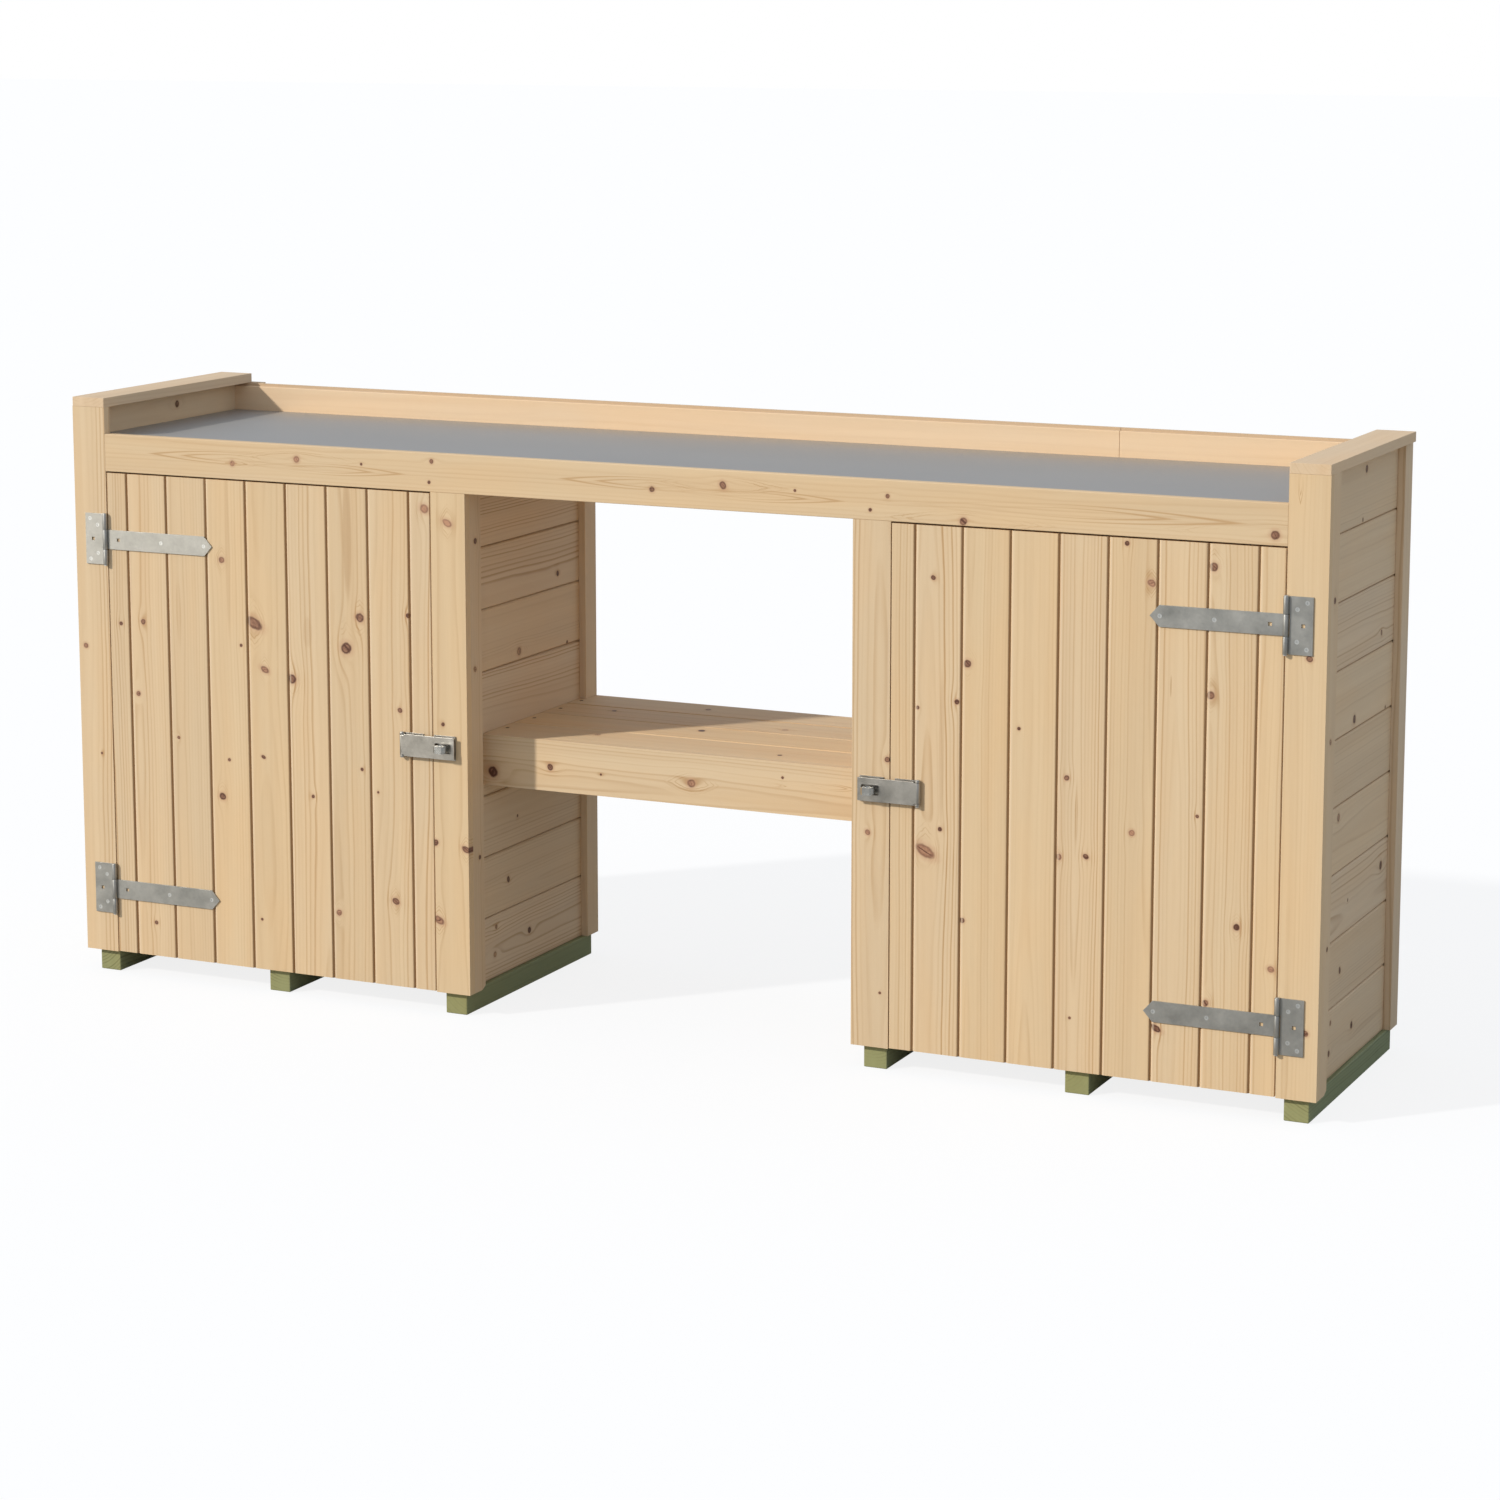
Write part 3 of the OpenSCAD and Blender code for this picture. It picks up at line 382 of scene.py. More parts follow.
def wood(name, axes, colours, boards, face, knots=(), cell=None, seed=0.0, ring=0.0060, contrast=0.62,
         joints="fine", long=1.9, tilt=None, end=None, tongue_shade=None, marks=(), loops=()):
    """Pine material. axes gives the directions along the grain, across it, and into the face at depth face.
    boards is (start, width, count) across the grain. knots is a list for each board of (along, across,
    radius, stretch), or for each cell = (start, length) along the grain. ring is a growth ring's width.
    joints names the painted shade and dust (JOINT_SHADE_AND_DUST) in the joints between boards, and long is
    how far the grain loops along past a knot. tilt is (low, high, angle) of a slanted part, end = (place,
    tint) tints the end face that lies there: partly the colour of sawn end grain, partly painted light where
    that end faces the key light. tongue_shade = (place, tint) darkens the edge above it with painted shade,
    each mark = (along, across, half length, half width, strength) is a stain, and each of loops = (along,
    across from the board's middle, half length, half width, bold side)."""
    material, g = new_material(name)
    parts = g.split(g.add("ShaderNodeTexCoord").outputs["Object"])
    along, across, depth = [read_axis(parts, axis) for axis in axes]
    start, width, count = boards
    place = (across - start) / width
    index = g.limit(g.math("FLOOR", place), 0.0, count - 1.0)
    local = (place - index - 0.5) * width
    if tilt:
        along, local, index = slant(g, along, across, local, index, tilt)
    cells = [list(k) for k in knots] or [[]]
    row = g.math("FLOOR", (along - cell[0]) / cell[1]) if cell else index
    state = add_knots(g, along, local, g.limit(row, 0.0, len(cells) - 1.0), cells, long)
    edge, lip_highlight = joint_shade(g, local, width, joints) if joints and count > 1 else (NO_JOINT, 0.0)
    reach, shade_and_dust_strength = JOINT_SHADE_AND_DUST[joints]
    grain = g.add("ShaderNodeGroup", {
        "Along": along, "Across": local, "Depth": depth - face, "Board": index + (seed * 17.13 + 3.0),
        "Joint": edge, "ShadeAndDustReach": reach, "ShadeAndDustStrength": shade_and_dust_strength, "LipHighlight": lip_highlight, "Ring": ring, "Contrast": contrast,
        **state, **colours}, node_tree=GRAIN)
    colour = grain.outputs["C_colour"]
    for mark in marks:
        colour = add_stain(g, colour, along, across, mark)
    for pair in loops:
        colour = add_loops(g, colour, colours["C_late"], along, local, pair)
    # The end face is tinted warmer and lighter: partly the colour of sawn end grain, partly painted light
    if end:
        sawn = g.step(along, end[0] + 0.0003, end[0] + 0.0006, 1.0, 0.0)
        colour = g.mix(sawn, colour, end[1], "MULTIPLY")
    # Painted shade on the band above the given place: the backboard's tongue
    if tongue_shade:
        painted_tongue_shade = g.step(across, tongue_shade[0] - 0.0004, tongue_shade[0])
        colour = g.mix(painted_tongue_shade, colour, tongue_shade[1], "MULTIPLY")
    bump = g.add("ShaderNodeBump", {"Strength": 0.30, "Distance": 0.0005, "Height": grain.outputs["Height"]})
    shader = g.add("ShaderNodeBsdfPrincipled", {
        "Base Color": colour, "Roughness": grain.outputs["Rough"],
        "Normal": bump.outputs[0], "Specular IOR Level": 0.28})
    g.add("ShaderNodeOutputMaterial", {0: shader.outputs[0]})
    return material


# ------------------------------------------------------------------ metal and sheet

def metal(name, light, dark, rough, mottle=0.5, metallic=0.9, scale=1.0, relief=0.22):
    """Zinc-coated steel: soft cloudy patches, fine spangle and grit. scale is how fine the patches are."""
    material, g = new_material(name)
    coordinate = g.add("ShaderNodeTexCoord").outputs["Object"]
    cloud = g.noise(coordinate, 26.0 * scale, 3.0)
    blotch = g.noise(coordinate, 95.0 * scale, 3.0, 0.6)
    grit = g.noise(coordinate, 900.0, 3.0, 0.7)
    spangle = g.add("ShaderNodeTexVoronoi", {"Vector": coordinate, "Scale": 210.0 * scale})
    flake = Socket(g, g.add("ShaderNodeSeparateColor", {0: spangle.outputs["Color"]}).outputs[0]) - 0.5
    amount = g.math("ADD", (cloud * 1.6 + blotch * 0.9) * mottle, flake * 0.14 + 0.5, clamp=True)
    colour = g.mix(amount, dark, light)
    bump = g.add("ShaderNodeBump", {"Strength": relief, "Distance": 0.0004,
                                    "Height": grit * 0.5 + blotch * 0.8})
    shader = g.add("ShaderNodeBsdfPrincipled", {
        "Base Color": colour, "Metallic": metallic, "Roughness": rough + (cloud * 0.4 + grit * 0.2) * mottle,
        "Normal": bump.outputs[0]})
    g.add("ShaderNodeOutputMaterial", {0: shader.outputs[0]})
    return material


def sheet_material():
    """Dull grey zinc: faint long clouds, fine rolling marks and grit."""
    material, g = new_material("zinc_sheet")
    coordinate = g.add("ShaderNodeTexCoord").outputs["Object"]
    along, across, _ = g.split(coordinate)
    cloud = g.noise(g.vector(along * 2.0, across * 7.0, 0.0), 1.0, 3.0)
    rolled = g.noise(g.vector(along * 5.0, across * 420.0, 0.0), 1.0, 2.0)
    grit = g.noise(coordinate, 600.0, 3.0, 0.7)
    amount = g.math("ADD", cloud * 0.9 + rolled * 0.4, grit * 0.4 + 0.5, clamp=True)
    colour = g.mix(amount, linear(166, 161, 153), linear(176, 171, 163))
    bump = g.add("ShaderNodeBump", {"Strength": 0.2, "Distance": 0.0003, "Height": grit + rolled})
    shader = g.add("ShaderNodeBsdfPrincipled", {
        "Base Color": colour, "Metallic": 0.6, "Roughness": 0.52 + cloud * 0.10,
        "Normal": bump.outputs[0]})
    g.add("ShaderNodeOutputMaterial", {0: shader.outputs[0]})
    return material


# ------------------------------------------------------------------ knots, board by board

def board_cells(boards, listed):
    """Sorts knots (along, across, radius, stretch) into boards, each measured from its board's middle."""
    start, width, count = boards
    cells = [[] for _ in range(count)]
    for along, across, radius, stretch in listed:
        i = min(count - 1, max(0, int((across - start) / width)))
        cells[i].append((along, across - start - (i + 0.5) * width, radius, stretch))
    return cells


def run_cells(run, middle, listed):
    """Sorts knots (along, across, radius, stretch) into the cells of run = (start, length, count)."""
    start, length, count = run
    cells = [[] for _ in range(count)]
    for along, across, radius, stretch in listed:
        i = min(count - 1, max(0, int((along - start) / length)))
        cells[i].append((along, across - middle, radius, stretch))
    return cells


def chance_cells(seed, count, low, high, half, most=2, chance=0.75, big=0.008):
    """Knots placed by chance, the same on each run."""
    draw = random.Random(seed)
    cells = []
    for _ in range(count):
        cell = []
        for _ in range(most):
            along = draw.uniform(low, high)
            across = draw.uniform(-half, half)
            radius = draw.uniform(0.0025, big)
            stretch = draw.choice((1.0, 1.0, 1.2, 1.6))
            if draw.random() < chance:
                cell.append((along, across, radius, stretch))
        cells.append(cell)
    return cells


# Knots of the doors, rail and fascia: x, height, radius, stretch
LEFT_DOOR = [
    (-1.151, 0.697, 0.0040, 1.0), (-1.100, 0.704, 0.0055, 1.0), (-1.115, 0.562, 0.0050, 1.0),
    (-1.087, 0.110, 0.0040, 1.1), (-1.025, 0.483, 0.0030, 1.2), (-0.919, 0.836, 0.0062, 1.0),
    (-0.928, 0.376, 0.0070, 1.1), (-0.911, 0.449, 0.0035, 1.0), (-0.879, 0.674, 0.0032, 1.0),
    (-0.849, 0.719, 0.0105, 1.9), (-0.827, 0.631, 0.0062, 1.6), (-0.834, 0.461, 0.0035, 1.5),
    (-0.8445, 0.142, 0.0028, 1.0), (-0.767, 0.618, 0.0090, 1.1), (-0.725, 0.394, 0.0036, 1.0),
    (-0.6465, 0.6855, 0.0115, 1.0), (-0.616, 0.746, 0.0085, 1.1), (-0.672, 0.173, 0.0060, 1.0),
    (-0.6165, 0.456, 0.0035, 1.0), (-0.532, 0.576, 0.0048, 1.1), (-0.547, 0.208, 0.0064, 1.3),
    (-0.582, 0.415, 0.0025, 1.0), (-0.512, 0.757, 0.0050, 1.0), (-0.474, 0.960, 0.0080, 1.2)]
RIGHT_DOOR = [
    (0.542, 0.898, 0.0040, 1.2), (0.530, 0.410, 0.0105, 1.9),
    (0.558, 0.452, 0.0042, 1.0), (0.588, 0.682, 0.0050, 1.0), (0.514, 0.666, 0.0036, 1.0),
    (0.607, 0.751, 0.0072, 1.0), (0.601, 0.292, 0.0052, 1.0), (0.704, 0.644, 0.0034, 1.0),
    (0.793, 0.565, 0.0050, 1.0), (0.780, 0.424, 0.0056, 1.0), (0.830, 0.429, 0.0048, 1.2),
    (0.804, 0.139, 0.0025, 1.0), (0.9125, 0.479, 0.0055, 1.0), (0.896, 0.980, 0.0045, 1.0),
    (0.941, 0.915, 0.0060, 1.3), (1.0295, 0.519, 0.0032, 1.0), (0.962, 0.139, 0.0060, 1.8),
    (1.0505, 0.9495, 0.0078, 1.0), (1.049, 0.730, 0.0072, 1.0), (1.050, 0.194, 0.0062, 1.0),
    (1.103, 0.333, 0.0062, 1.0), (1.165, 0.266, 0.0055, 1.2)]
RAIL = [
    (-0.890, 1.0225, 0.0055, 1.0), (-0.748, 1.0375, 0.0065, 1.0), (-0.6075, 1.036, 0.0028, 1.0),
    (-0.4575, 1.049, 0.0045, 1.0), (-0.463, 1.010, 0.0034, 1.0), (-0.004, 1.0225, 0.0055, 1.0),
    (0.137, 1.0375, 0.0065, 1.2), (0.2775, 1.036, 0.0028, 1.0), (0.422, 1.010, 0.0034, 1.0),
    (0.4545, 1.036, 0.0040, 1.0), (0.597, 1.000, 0.0072, 1.0), (1.156, 1.010, 0.0080, 1.0)]
FASCIA = [
    (-0.389, 0.453, 0.0100, 1.1), (-0.267, 0.473, 0.0062, 1.1), (-0.1606, 0.468, 0.0024, 1.0),
    (0.026, 0.468, 0.0082, 1.0), (0.210, 0.495, 0.0026, 1.0)]
# Pairs of loops: x, distance from the board's middle, half length, half width, bold side
RAIL_LOOPS = [(-0.90, 0.004, 0.166, 0.011, -1), (-0.68, -0.006, 0.155, 0.010, 1),
              (-0.014, 0.004, 0.166, 0.011, -1), (0.206, -0.006, 0.155, 0.010, 1),
              (0.80, -0.002, 0.285, 0.014, 1)]
FASCIA_LOOPS = [(0.195, 0.004, 0.022, 0.0035, 1), (0.311, 0.010, 0.045, 0.006, 1)]
# Knots of a wall's planks: distance behind the front faces, height, radius, stretch
WALL = [
    (0.2885, 0.103, 0.0068, 1.0), (0.150, 0.087, 0.0056, 1.0), (0.156, 0.140, 0.0046, 1.0),
    (0.206, 0.222, 0.0056, 1.2), (0.453, 0.357, 0.0084, 1.0), (0.245, 0.339, 0.0030, 1.0),
    (0.1745, 0.500, 0.0076, 1.0), (0.258, 0.658, 0.0080, 1.0), (0.418, 0.786, 0.0050, 1.2),
    (0.279, 1.0045, 0.0040, 1.0), (0.296, 1.0915, 0.0072, 1.0), (0.455, 0.645, 0.0035, 1.0)]
PLANKS = (0.045, 0.119, 9)                  # a wall's planks: foot, cover and number
SHELF_KNOTS = [
    [(-0.21, 0.01, 0.0060, 1.0), (0.18, -0.02, 0.0045, 1.2)],
    [(-0.05, 0.02, 0.0070, 1.3), (0.27, 0.01, 0.0040, 1.0)],
    [(0.09, -0.015, 0.0062, 1.0), (-0.29, 0.02, 0.0050, 1.4)],
    [(-0.13, 0.0, 0.0055, 1.2), (0.31, -0.01, 0.0045, 1.0)]]
STRIP_KNOTS = [[(0.30, 0.004, 0.0045, 1.0), (0.66, -0.006, 0.005, 1.2), (0.90, 0.0, 0.006, 1.0)]]


# ------------------------------------------------------------------ materials on the CAD nodes

PLANED = 0.018                              # thickness of the planed boards
FLOOR_START = 0.022                         # the floor boards' first edge behind the front faces
CUPBOARD_X = 0.8                            # a cupboard's middle
BANDS = (-1.3, 0.1, 26)                     # tells boards apart by their place along the bench
POST_BANDS = 8
POST_PLAY = 0.001
DOOR_START = {"left": -1.2197, "right": 0.4187}
DOOR_COVER, DOOR_BOARDS = 0.089, 9
# Stains on the doors: height, x, half length, half width, strength
DOOR_MARKS = {"left": [(0.90, -0.641, 0.14, 0.011, 0.55), (0.86, -0.905, 0.20, 0.006, 0.30),
                       (0.71, -0.731, 0.035, 0.012, 0.22)],
              "right": [(0.74, 0.9785, 0.022, 0.0012, 0.9), (0.60, 0.560, 0.16, 0.006, 0.30)]}
LEDGE_ROWS = (0.125, 0.1723, 5)             # bands of height that tell the ledges and brace apart
BRACE_LOW, BRACE_HIGH, BRACE_WIDTH = 0.213, 0.816, 0.095
BRACE_INSET = 0.0002
SHELF_START, SHELF_COVER, SHELF_BOARDS = 0.117, 0.108, 4
DECK_BOARDS = FLOOR_BOARDS = 5
RAIL_RUN = (-1.43, 0.445, 7)                # cells along a board: start, length and number
FASCIA_RUN = (-0.42, 0.28, 3)
BACKBOARD_RUN = (-1.25, 0.3125, 8)
# The top band of the backboard that its tongue shows, and the painted shade that darkens it
TONGUE_SEEN, TONGUE_PAINTED_SHADE = 0.0056, (0.76, 0.75, 0.74)
# Tint of the bearers' sawn ends: partly the colour of end grain, partly painted light on ends that face the
# key light
SAWN_END_TINT_AND_PAINTED_LIGHT = (1.18, 1.04, 0.86)
# Front corner boards: seed, and knots as (distance from the board's middle, height, radius, stretch)
CORNERS = {
    "corner_left_outer": (3.0, [(-0.020, 0.648, 0.0050, 1.1), (0.010, 0.437, 0.0024, 1.0)]),
    "corner_left_inner": (6.0, [(-0.001, 0.936, 0.0068, 1.6), (-0.015, 0.557, 0.0040, 1.0),
                                (-0.034, 0.330, 0.0062, 1.0), (0.031, 0.3225, 0.0060, 1.6),
                                (-0.029, 0.1815, 0.0070, 1.8)]),
    "corner_right_inner": (9.0, [(0.032, 0.568, 0.0052, 1.0), (-0.005, 0.4335, 0.0050, 1.1),
                                 (0.020, 0.143, 0.0026, 1.0)]),
    "corner_right_outer": (12.0, [(0.006, 0.805, 0.0052, 1.2), (0.0135, 0.161, 0.0052, 1.2)]),
}
CORNER_LOOPS = {"corner_right_outer": [(1.10, -0.016, 0.034, 0.0045, -1)]}
BEARERS = ["bearer_left_outer", "bearer_left_middle", "bearer_left_inner",
           "bearer_right_inner", "bearer_right_middle", "bearer_right_outer"]


def dress(material, *names):
    for name in names:
        node = nodes[name]
        node.data.materials.clear()
        node.data.materials.append(material)


def face_of(node, axis, high):
    """Where a node's lowest or highest face lies along an axis."""
    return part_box(node)[1 if high else 0]["xyz".index(axis)]


def dress_door(side, seed, listed):
    """Matched boards, and the ledges and brace behind them."""
    boards = (DOOR_START[side], DOOR_COVER, DOOR_BOARDS)
    knots = board_cells(boards, [(z, x, radius, stretch) for x, z, radius, stretch in listed])
    dress(wood(f"pine_door_{side}", ["z", "x", "y"], PINK, boards, FRONT, knots, seed=seed, contrast=0.75,
               joints="deep", marks=DOOR_MARKS[side]), f"door_boards_{side}")
    low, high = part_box(f"door_ledges_{side}")
    run = high.x - low.x - BRACE_WIDTH
    turn = math.atan2(BRACE_HIGH - BRACE_LOW, run if side == "left" else -run)
    knots = chance_cells(61 + seed, LEDGE_ROWS[2], low.x + 0.05, high.x - 0.05, 0.03, 2, 0.8)
    dress(wood(f"pine_ledges_{side}", ["x", "z", "-y"], TAN, LEDGE_ROWS, -high.y, knots, seed=23 + seed,
               joints=None, tilt=(BRACE_LOW + BRACE_INSET, BRACE_HIGH - BRACE_INSET, turn)),
          f"door_ledges_{side}")


def wall_knots(offset):
    """The wall's knots, moved along its planks by an offset."""
    return board_cells(PLANKS, [(y + FRONT + offset, z, radius, stretch) for y, z, radius, stretch in WALL])


def dress_walls(side, middle, seed):
    """Side walls and rear wall; the outer one shows its face outwards, the inner one towards the bay."""
    outward, inward = ("-x", "x") if side == "left" else ("x", "-x")
    face = abs(face_of(f"wall_{side}_outer", "x", side == "right"))
    dress(wood(f"pine_wall_{side}_outer", ["y", "z", inward], TAN, PLANKS, -face, wall_knots(0.0),
               seed=7 + seed, contrast=0.8, joints="soft"), f"wall_{side}_outer")
    face = abs(face_of(f"wall_{side}_inner", "x", side == "left"))
    dress(wood(f"pine_wall_{side}_inner", ["y", "z", outward], TAN, PLANKS, face, wall_knots(-0.01),
               seed=8 + seed, contrast=0.8, joints="soft"), f"wall_{side}_inner")
    knots = chance_cells(31 + seed, PLANKS[2], middle - 0.38, middle + 0.38, 0.045, 3)
    dress(wood(f"pine_back_{side}", ["x", "z", "-y"], TAN, PLANKS, -face_of(f"back_{side}", "y", True),
               knots, seed=11 + seed, joints="soft"), f"back_{side}")
    strips = (FRONT + PLANED, 0.042, 1)
    dress(wood(f"pine_strips_{side}", ["z", "y", outward], TAN, strips, 0.4, STRIP_KNOTS, seed=19 + seed),
          f"corner_strips_{side}")


def dress_frame(side, middle, seed):
    """The other boards of a cupboard: posts, rear corners, floor and end cap."""
    low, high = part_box(f"posts_{side}")
    boards = (low.x - POST_PLAY, (high.x - low.x + 2 * POST_PLAY) / POST_BANDS, POST_BANDS)
    knots = chance_cells(41 + seed, POST_BANDS, 0.1, 1.0, 0.015, 2, 0.6, 0.006)
    dress(wood(f"pine_posts_{side}", ["z", "x", "y"], TAN, boards, low.y, knots, seed=13 + seed,
               joints=None), f"posts_{side}")
    knots = chance_cells(51 + seed, BANDS[2], 0.1, 1.0, 0.02, 2, 0.6, 0.006)
    dress(wood(f"pine_rear_corners_{side}", ["z", "x", "-y"], TAN, BANDS, -cad_high.y, knots,
               seed=17 + seed, joints=None), f"rear_corners_{side}")
    start = FRONT + FLOOR_START
    boards = (start, (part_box(f"floor_{side}")[1].y - start) / FLOOR_BOARDS, FLOOR_BOARDS)
    knots = chance_cells(71 + seed, FLOOR_BOARDS, middle - 0.35, middle + 0.35, 0.04, 3)
    dress(wood(f"pine_floor_{side}", ["x", "y", "-z"], TAN, boards, -face_of(f"floor_{side}", "z", True),
               knots, seed=29 + seed), f"floor_{side}")
    low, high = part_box(f"cap_{side}")
    dress(wood(f"pine_cap_{side}", ["y", "x", "-z"], PALE_PAINTED_SKYLIGHT, (low.x, high.x - low.x, 1), -high.z,
               seed=37 + seed, contrast=0.5), f"cap_{side}")


def dress_corners():
    for name, (seed, listed) in CORNERS.items():
        low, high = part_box(name)
        knots = [[(height, aside, radius, stretch) for aside, height, radius, stretch in listed]]
        dress(wood(f"pine_{name}", ["z", "x", "y"], PINK, (low.x, high.x - low.x, 1), FRONT, knots,
                   seed=seed, contrast=0.66, loops=CORNER_LOOPS.get(name, ())), name)


def dress_worktop():
    """Front rail, backboard, deck boards and battens."""
    low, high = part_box("front_rail")
    dress(wood("pine_rail", ["x", "z", "y"], PINK, (low.z, high.z - low.z, 1), FRONT,
               run_cells(RAIL_RUN, (low.z + high.z) / 2, RAIL), cell=RAIL_RUN[:2], seed=1.4,
               ring=0.0070, contrast=0.5, long=9.0, loops=RAIL_LOOPS), "front_rail")
    low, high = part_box("backboard")
    knots = chance_cells(81, BACKBOARD_RUN[2], -1.2, 1.2, 0.03, 1, 0.6, 0.004)
    dress(wood("pine_backboard", ["x", "z", "y"], GOLD, (low.z, high.z - low.z, 1), low.y, knots,
               cell=BACKBOARD_RUN[:2], seed=4.1, contrast=0.5,
               tongue_shade=(high.z - TONGUE_SEEN, TONGUE_PAINTED_SHADE)), "backboard")
    low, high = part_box("deck_boards")
    start = FRONT + PLANED
    knots = chance_cells(95, DECK_BOARDS, -1.1, 1.1, 0.04, 4, 0.9)
    dress(wood("pine_deck", ["x", "y", "z"], TAN, (start, (high.y - start) / DECK_BOARDS, DECK_BOARDS),
               low.z, knots, seed=14.1), "deck_boards")
    dress(wood("pine_battens", ["y", "x", "z"], TAN, BANDS, low.z, seed=15.3, joints=None), "deck_battens")


def dress_shelf():
    """Fascia, shelf boards, rear rail and cleats."""
    low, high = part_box("shelf_fascia")
    dress(wood("pine_fascia", ["x", "z", "y"], PINK, (low.z, high.z - low.z, 1), low.y,
               run_cells(FASCIA_RUN, (low.z + high.z) / 2, FASCIA), cell=FASCIA_RUN[:2], seed=2.6,
               ring=0.0062, contrast=0.34, long=2.6, loops=FASCIA_LOOPS), "shelf_fascia")
    low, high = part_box("shelf_boards")
    boards = (FRONT + SHELF_START, SHELF_COVER, SHELF_BOARDS)
    dress(wood("pine_shelf", ["x", "y", "-z"], PALE, boards, -high.z, SHELF_KNOTS, seed=8.3, contrast=0.45,
               joints="faint"), "shelf_boards")
    low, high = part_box("shelf_rear_rail")
    dress(wood("pine_shelf_rail", ["x", "z", "-y"], TAN, (low.z, high.z - low.z, 1), -high.y,
               chance_cells(91, 1, -0.3, 0.3, 0.02, 2), seed=9.9), "shelf_rear_rail")
    dress(wood("pine_cleats", ["y", "z", "x"], TAN, (0.4, 0.2, 1), -0.4,
               chance_cells(93, 1, -0.1, 0.2, 0.02, 2), seed=10.7), "shelf_cleats")


def dress_bearers():
    for i, name in enumerate(BEARERS):
        low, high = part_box(name)
        knots = [[(-0.12 + 0.06 * i, 0.008, 0.0050, 1.0)]]
        dress(wood(f"green_{name}", ["y", "x", "-z"], GREEN, (low.x, high.x - low.x, 1), -high.z, knots,
                   seed=40.0 + i, contrast=0.85, end=(low.y, SAWN_END_TINT_AND_PAINTED_LIGHT)), name)


def dress_metal():
    """The covering sheet, hinges, hasps and screws."""
    galvanised = metal("galvanised", linear(184, 181, 173), linear(148, 147, 141), 0.42, mottle=0.65)
    bright = metal("bright_zinc", linear(216, 216, 211), linear(190, 190, 186), 0.40, mottle=0.3,
                   metallic=0.85, scale=2.0, relief=0.06)
    cast = metal("cast_zinc", linear(214, 213, 208), linear(176, 175, 170), 0.25, metallic=1.0, scale=1.4,
                 relief=0.10)
    plate = metal("plated_hasp", linear(186, 181, 172), linear(154, 150, 141), 0.36, mottle=0.7,
                  metallic=0.95, scale=1.5)
    dull = metal("dull_screw", linear(98, 84, 70), linear(58, 46, 38), 0.55, metallic=0.6, scale=4.0)
    dress(sheet_material(), "worktop_sheet")
    dress(dull, "shelf_screws")
    for side in ("left", "right"):
        dress(galvanised, f"hinge_leaves_{side}", f"hinge_straps_{side}")
        dress(plate, f"hasp_{side}", f"hasp_leaf_{side}", f"eye_plate_{side}")
        dress(cast, f"turning_eye_{side}")
        dress(bright, f"hinge_pins_{side}", f"hasp_pin_{side}", f"frame_screws_{side}",
              f"door_screws_{side}")


for side, middle, seed, listed in (("left", -CUPBOARD_X, 2, LEFT_DOOR), ("right", CUPBOARD_X, 5, RIGHT_DOOR)):
    dress_door(side, seed, listed)
    dress_walls(side, middle, seed)
    dress_frame(side, middle, seed)
dress_corners()
dress_worktop()
dress_shelf()
dress_bearers()
dress_metal()


# ------------------------------------------------------------------ softened edges

# Radius of the arris, and how the names of the parts that have it start. The shelf boards stay sharp, because
# a bevel draws lines across them from their screw holes.
ARRISES = [
    (0.0018, ("bearer",)),
    (0.0012, ("corner_left", "corner_right", "front_rail", "cap_", "shelf_fascia")),
    (0.0010, ("door_boards",)),
    (0.0005, ("wall", "back", "floor", "deck", "posts", "corner_strips", "rear_corners", "door_ledges",
              "shelf_cleats", "shelf_rear_rail")),
    (0.0003, ("hasp_", "eye_plate", "hinge_leaves", "hinge_straps", "turning_eye"))]
SHARP = math.radians(40)                    # edges turning by less are left alone
SAME_POINT = 0.00002                        # corners nearer than this are one


def soften(node, width):
    """Joins the CAD mesh's split corners and rounds its edges, as planed or sheared stock is."""
    weld = node.modifiers.new("weld", "WELD")
    weld.merge_threshold = SAME_POINT
    bevel = node.modifiers.new("arris", "BEVEL")
    bevel.width = width
    bevel.segments = 2
    bevel.limit_method = "ANGLE"
    bevel.angle_limit = SHARP
    bevel.use_clamp_overlap = True
    bevel.harden_normals = False


for name in nodes:
    for width, starts in ARRISES:
        if name.startswith(starts):
            soften(nodes[name], width)


# ------------------------------------------------------------------ floor, light and camera

FLOOR_REACH = 60.0
FLOOR_DROP = 0.0005                         # keeps the floor just clear of the bearers
FLOOR_SEEN, FLOOR_BOUNCED = (0.99, 0.99, 0.99), (0.41, 0.40, 0.37)
FLOOR_GLOW = 0.85                           # share of the floor's look that shadows don't reach
SKY_FILL, SKY_SEEN = (0.50, 0.56, 0.66), (1.0, 1.0, 1.0)
SUN_WAY = Vector((0.592, 0.626, -0.507))
GLINT_PLACE, GLINT_AIM = Vector((-4.1, -4.9, 0.8)), Vector((-0.8, 0.0, 0.5))
CAMERA_PLACE = Vector((3.0054, -6.0426 + FRONT, 1.9131))
CAMERA_YAW, CAMERA_PITCH = 0.4360, 0.1604
FOCAL_LENGTH, SENSOR_WIDTH = 91.0416, 36.0  # millimetres
scene = bpy.context.scene


def add_object(name, data):
    made = bpy.data.objects.new(name, data)
    scene.collection.objects.link(made)
    return made


def stage_material(name, seen, bounced):
    """Matt floor: pale to the camera, and dimmer in what it throws back, as open ground is."""
    material, g = new_material(name)
    path = g.add("ShaderNodeLightPath")
    colour = g.mix(path.outputs["Is Camera Ray"], bounced, seen)
    matt = g.add("ShaderNodeBsdfDiffuse", {"Color": colour})
    glow = g.add("ShaderNodeEmission", {"Color": seen, "Strength": 1.0})
    share = g.math("MULTIPLY", Socket(g, path.outputs["Is Camera Ray"]), FLOOR_GLOW)
    both = g.add("ShaderNodeMixShader", {0: share, 1: matt.outputs[0], 2: glow.outputs[0]})
    g.add("ShaderNodeOutputMaterial", {0: both.outputs[0]})
    return material


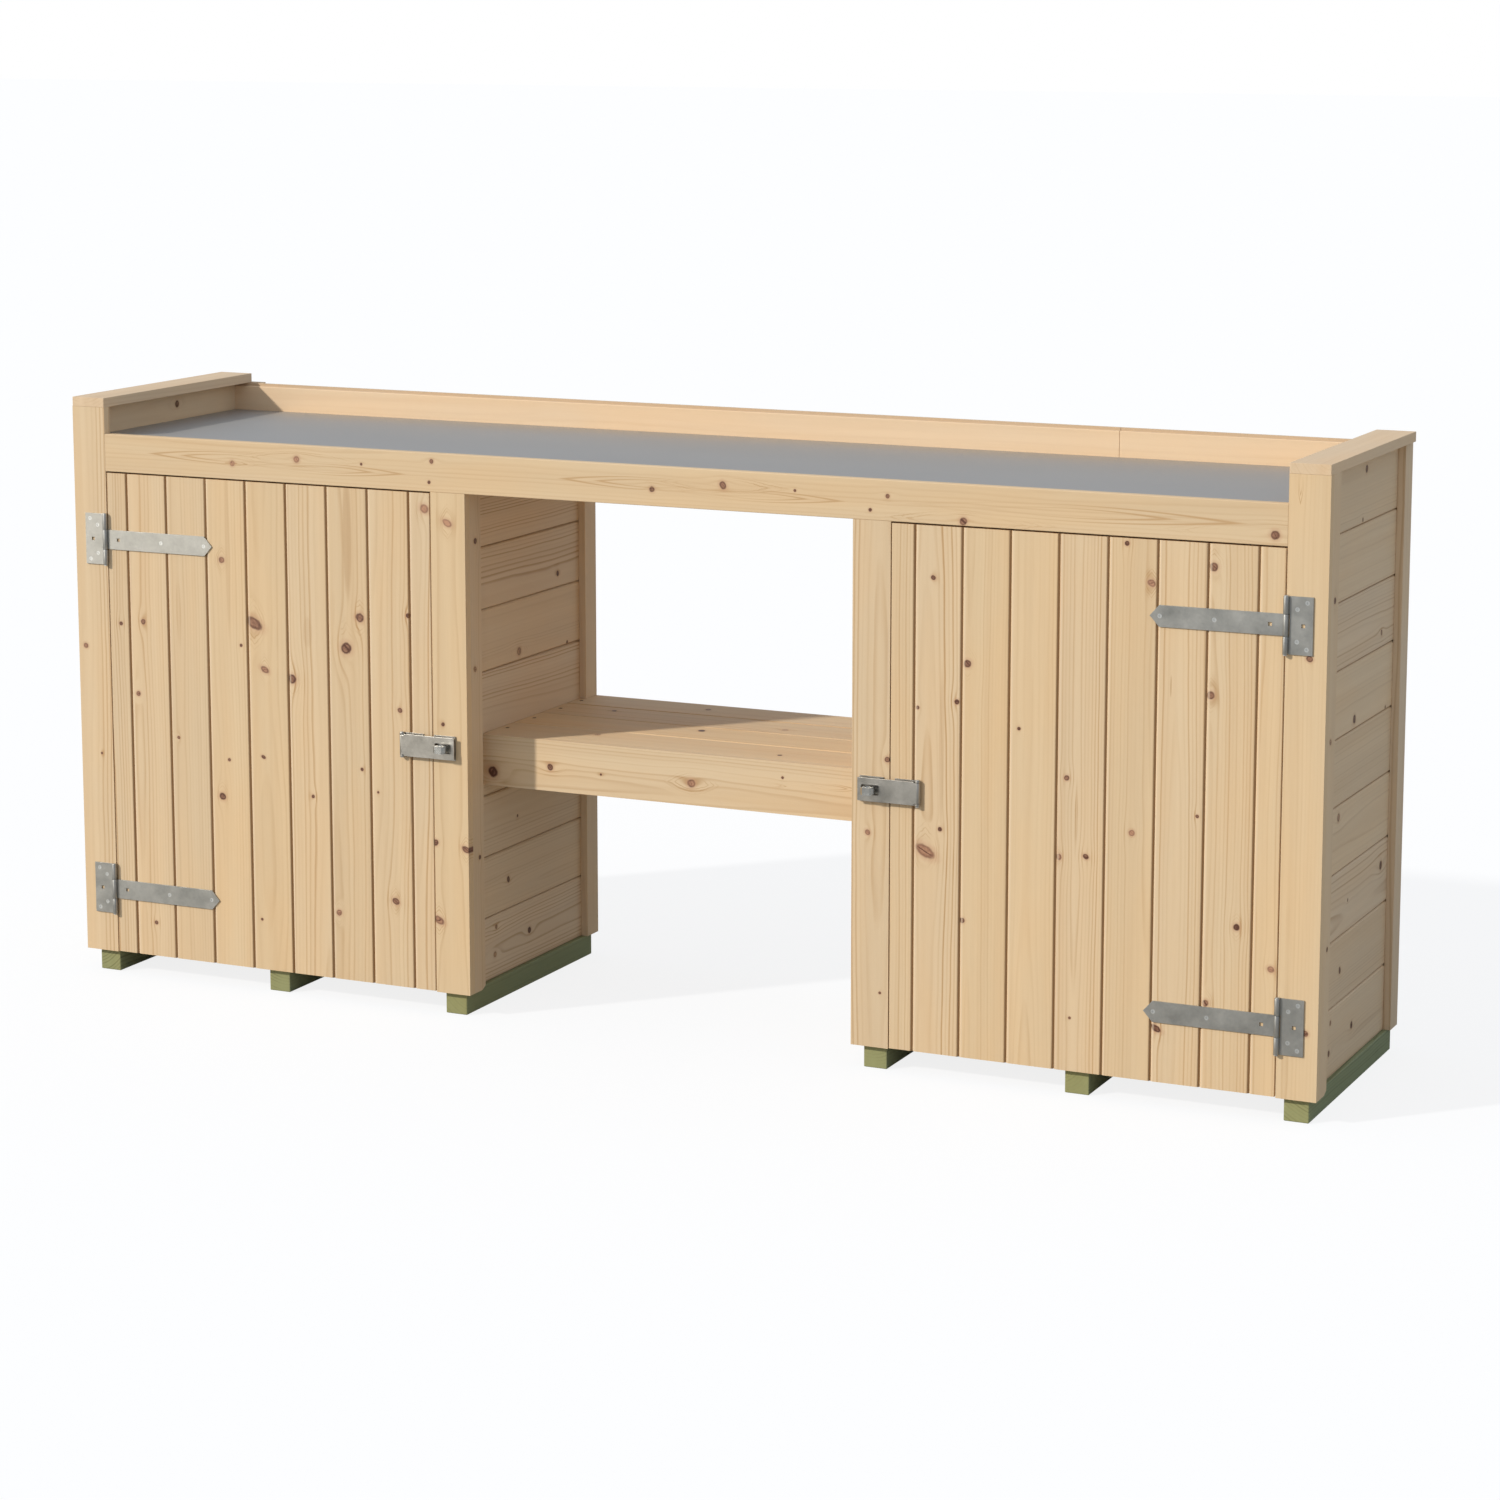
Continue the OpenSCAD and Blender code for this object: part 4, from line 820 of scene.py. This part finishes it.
def add_floor():
    mesh = bpy.data.meshes.new("floor")
    corners = [(x * FLOOR_REACH, y * FLOOR_REACH, 0) for x, y in ((-1, -1), (1, -1), (1, 1), (-1, 1))]
    mesh.from_pydata(corners, [], [(0, 1, 2, 3)])
    mesh.materials.append(stage_material("pale_floor", FLOOR_SEEN, FLOOR_BOUNCED))
    floor = add_object("floor", mesh)
    floor.location = (0, 0, -FLOOR_DROP)


def add_sky():
    """Cool soft fill from all round, plain white where the camera sees it."""
    world = bpy.data.worlds.new("studio")
    scene.world = world
    world.use_nodes = True
    world.node_tree.nodes.clear()
    g = Graph(world.node_tree)
    path = g.add("ShaderNodeLightPath")
    fill = g.add("ShaderNodeBackground", {"Color": SKY_FILL, "Strength": 1.0})
    seen = g.add("ShaderNodeBackground", {"Color": SKY_SEEN, "Strength": 1.0})
    both = g.add("ShaderNodeMixShader", {0: path.outputs["Is Camera Ray"], 1: fill.outputs[0],
                                         2: seen.outputs[0]})
    g.add("ShaderNodeOutputWorld", {0: both.outputs[0]})


def aim(light, way):
    light.rotation_mode = "QUATERNION"
    light.rotation_quaternion = way.to_track_quat("-Z", "Y")


def add_sun():
    lamp = bpy.data.lights.new("key", "SUN")
    lamp.energy = 2.8
    lamp.angle = math.radians(2.5)
    lamp.color = (1.0, 0.985, 0.96)
    aim(add_object("key", lamp), SUN_WAY)


def add_glint():
    """A soft box low on the left that adds no light to matt surfaces, for the metal."""
    lamp = bpy.data.lights.new("glint", "AREA")
    lamp.shape = "RECTANGLE"
    lamp.size, lamp.size_y = 4.4, 2.6
    lamp.energy = 92.0
    lamp.color = (1.0, 0.93, 0.82)
    glint = add_object("glint", lamp)
    glint.location = GLINT_PLACE
    glint.visible_diffuse = False
    glint.visible_camera = False
    aim(glint, GLINT_AIM - GLINT_PLACE)


def add_camera():
    lens = bpy.data.cameras.new("view")
    lens.sensor_width = SENSOR_WIDTH
    lens.lens = FOCAL_LENGTH
    lens.shift_y = -0.1
    lens.clip_end = 200.0
    camera = add_object("view", lens)
    camera.location = CAMERA_PLACE
    camera.rotation_euler = Euler((math.pi / 2 - CAMERA_PITCH, 0.0, CAMERA_YAW))
    scene.camera = camera


add_floor()
add_sky()
add_sun()
add_glint()
add_camera()
scene.view_settings.view_transform = "Standard"
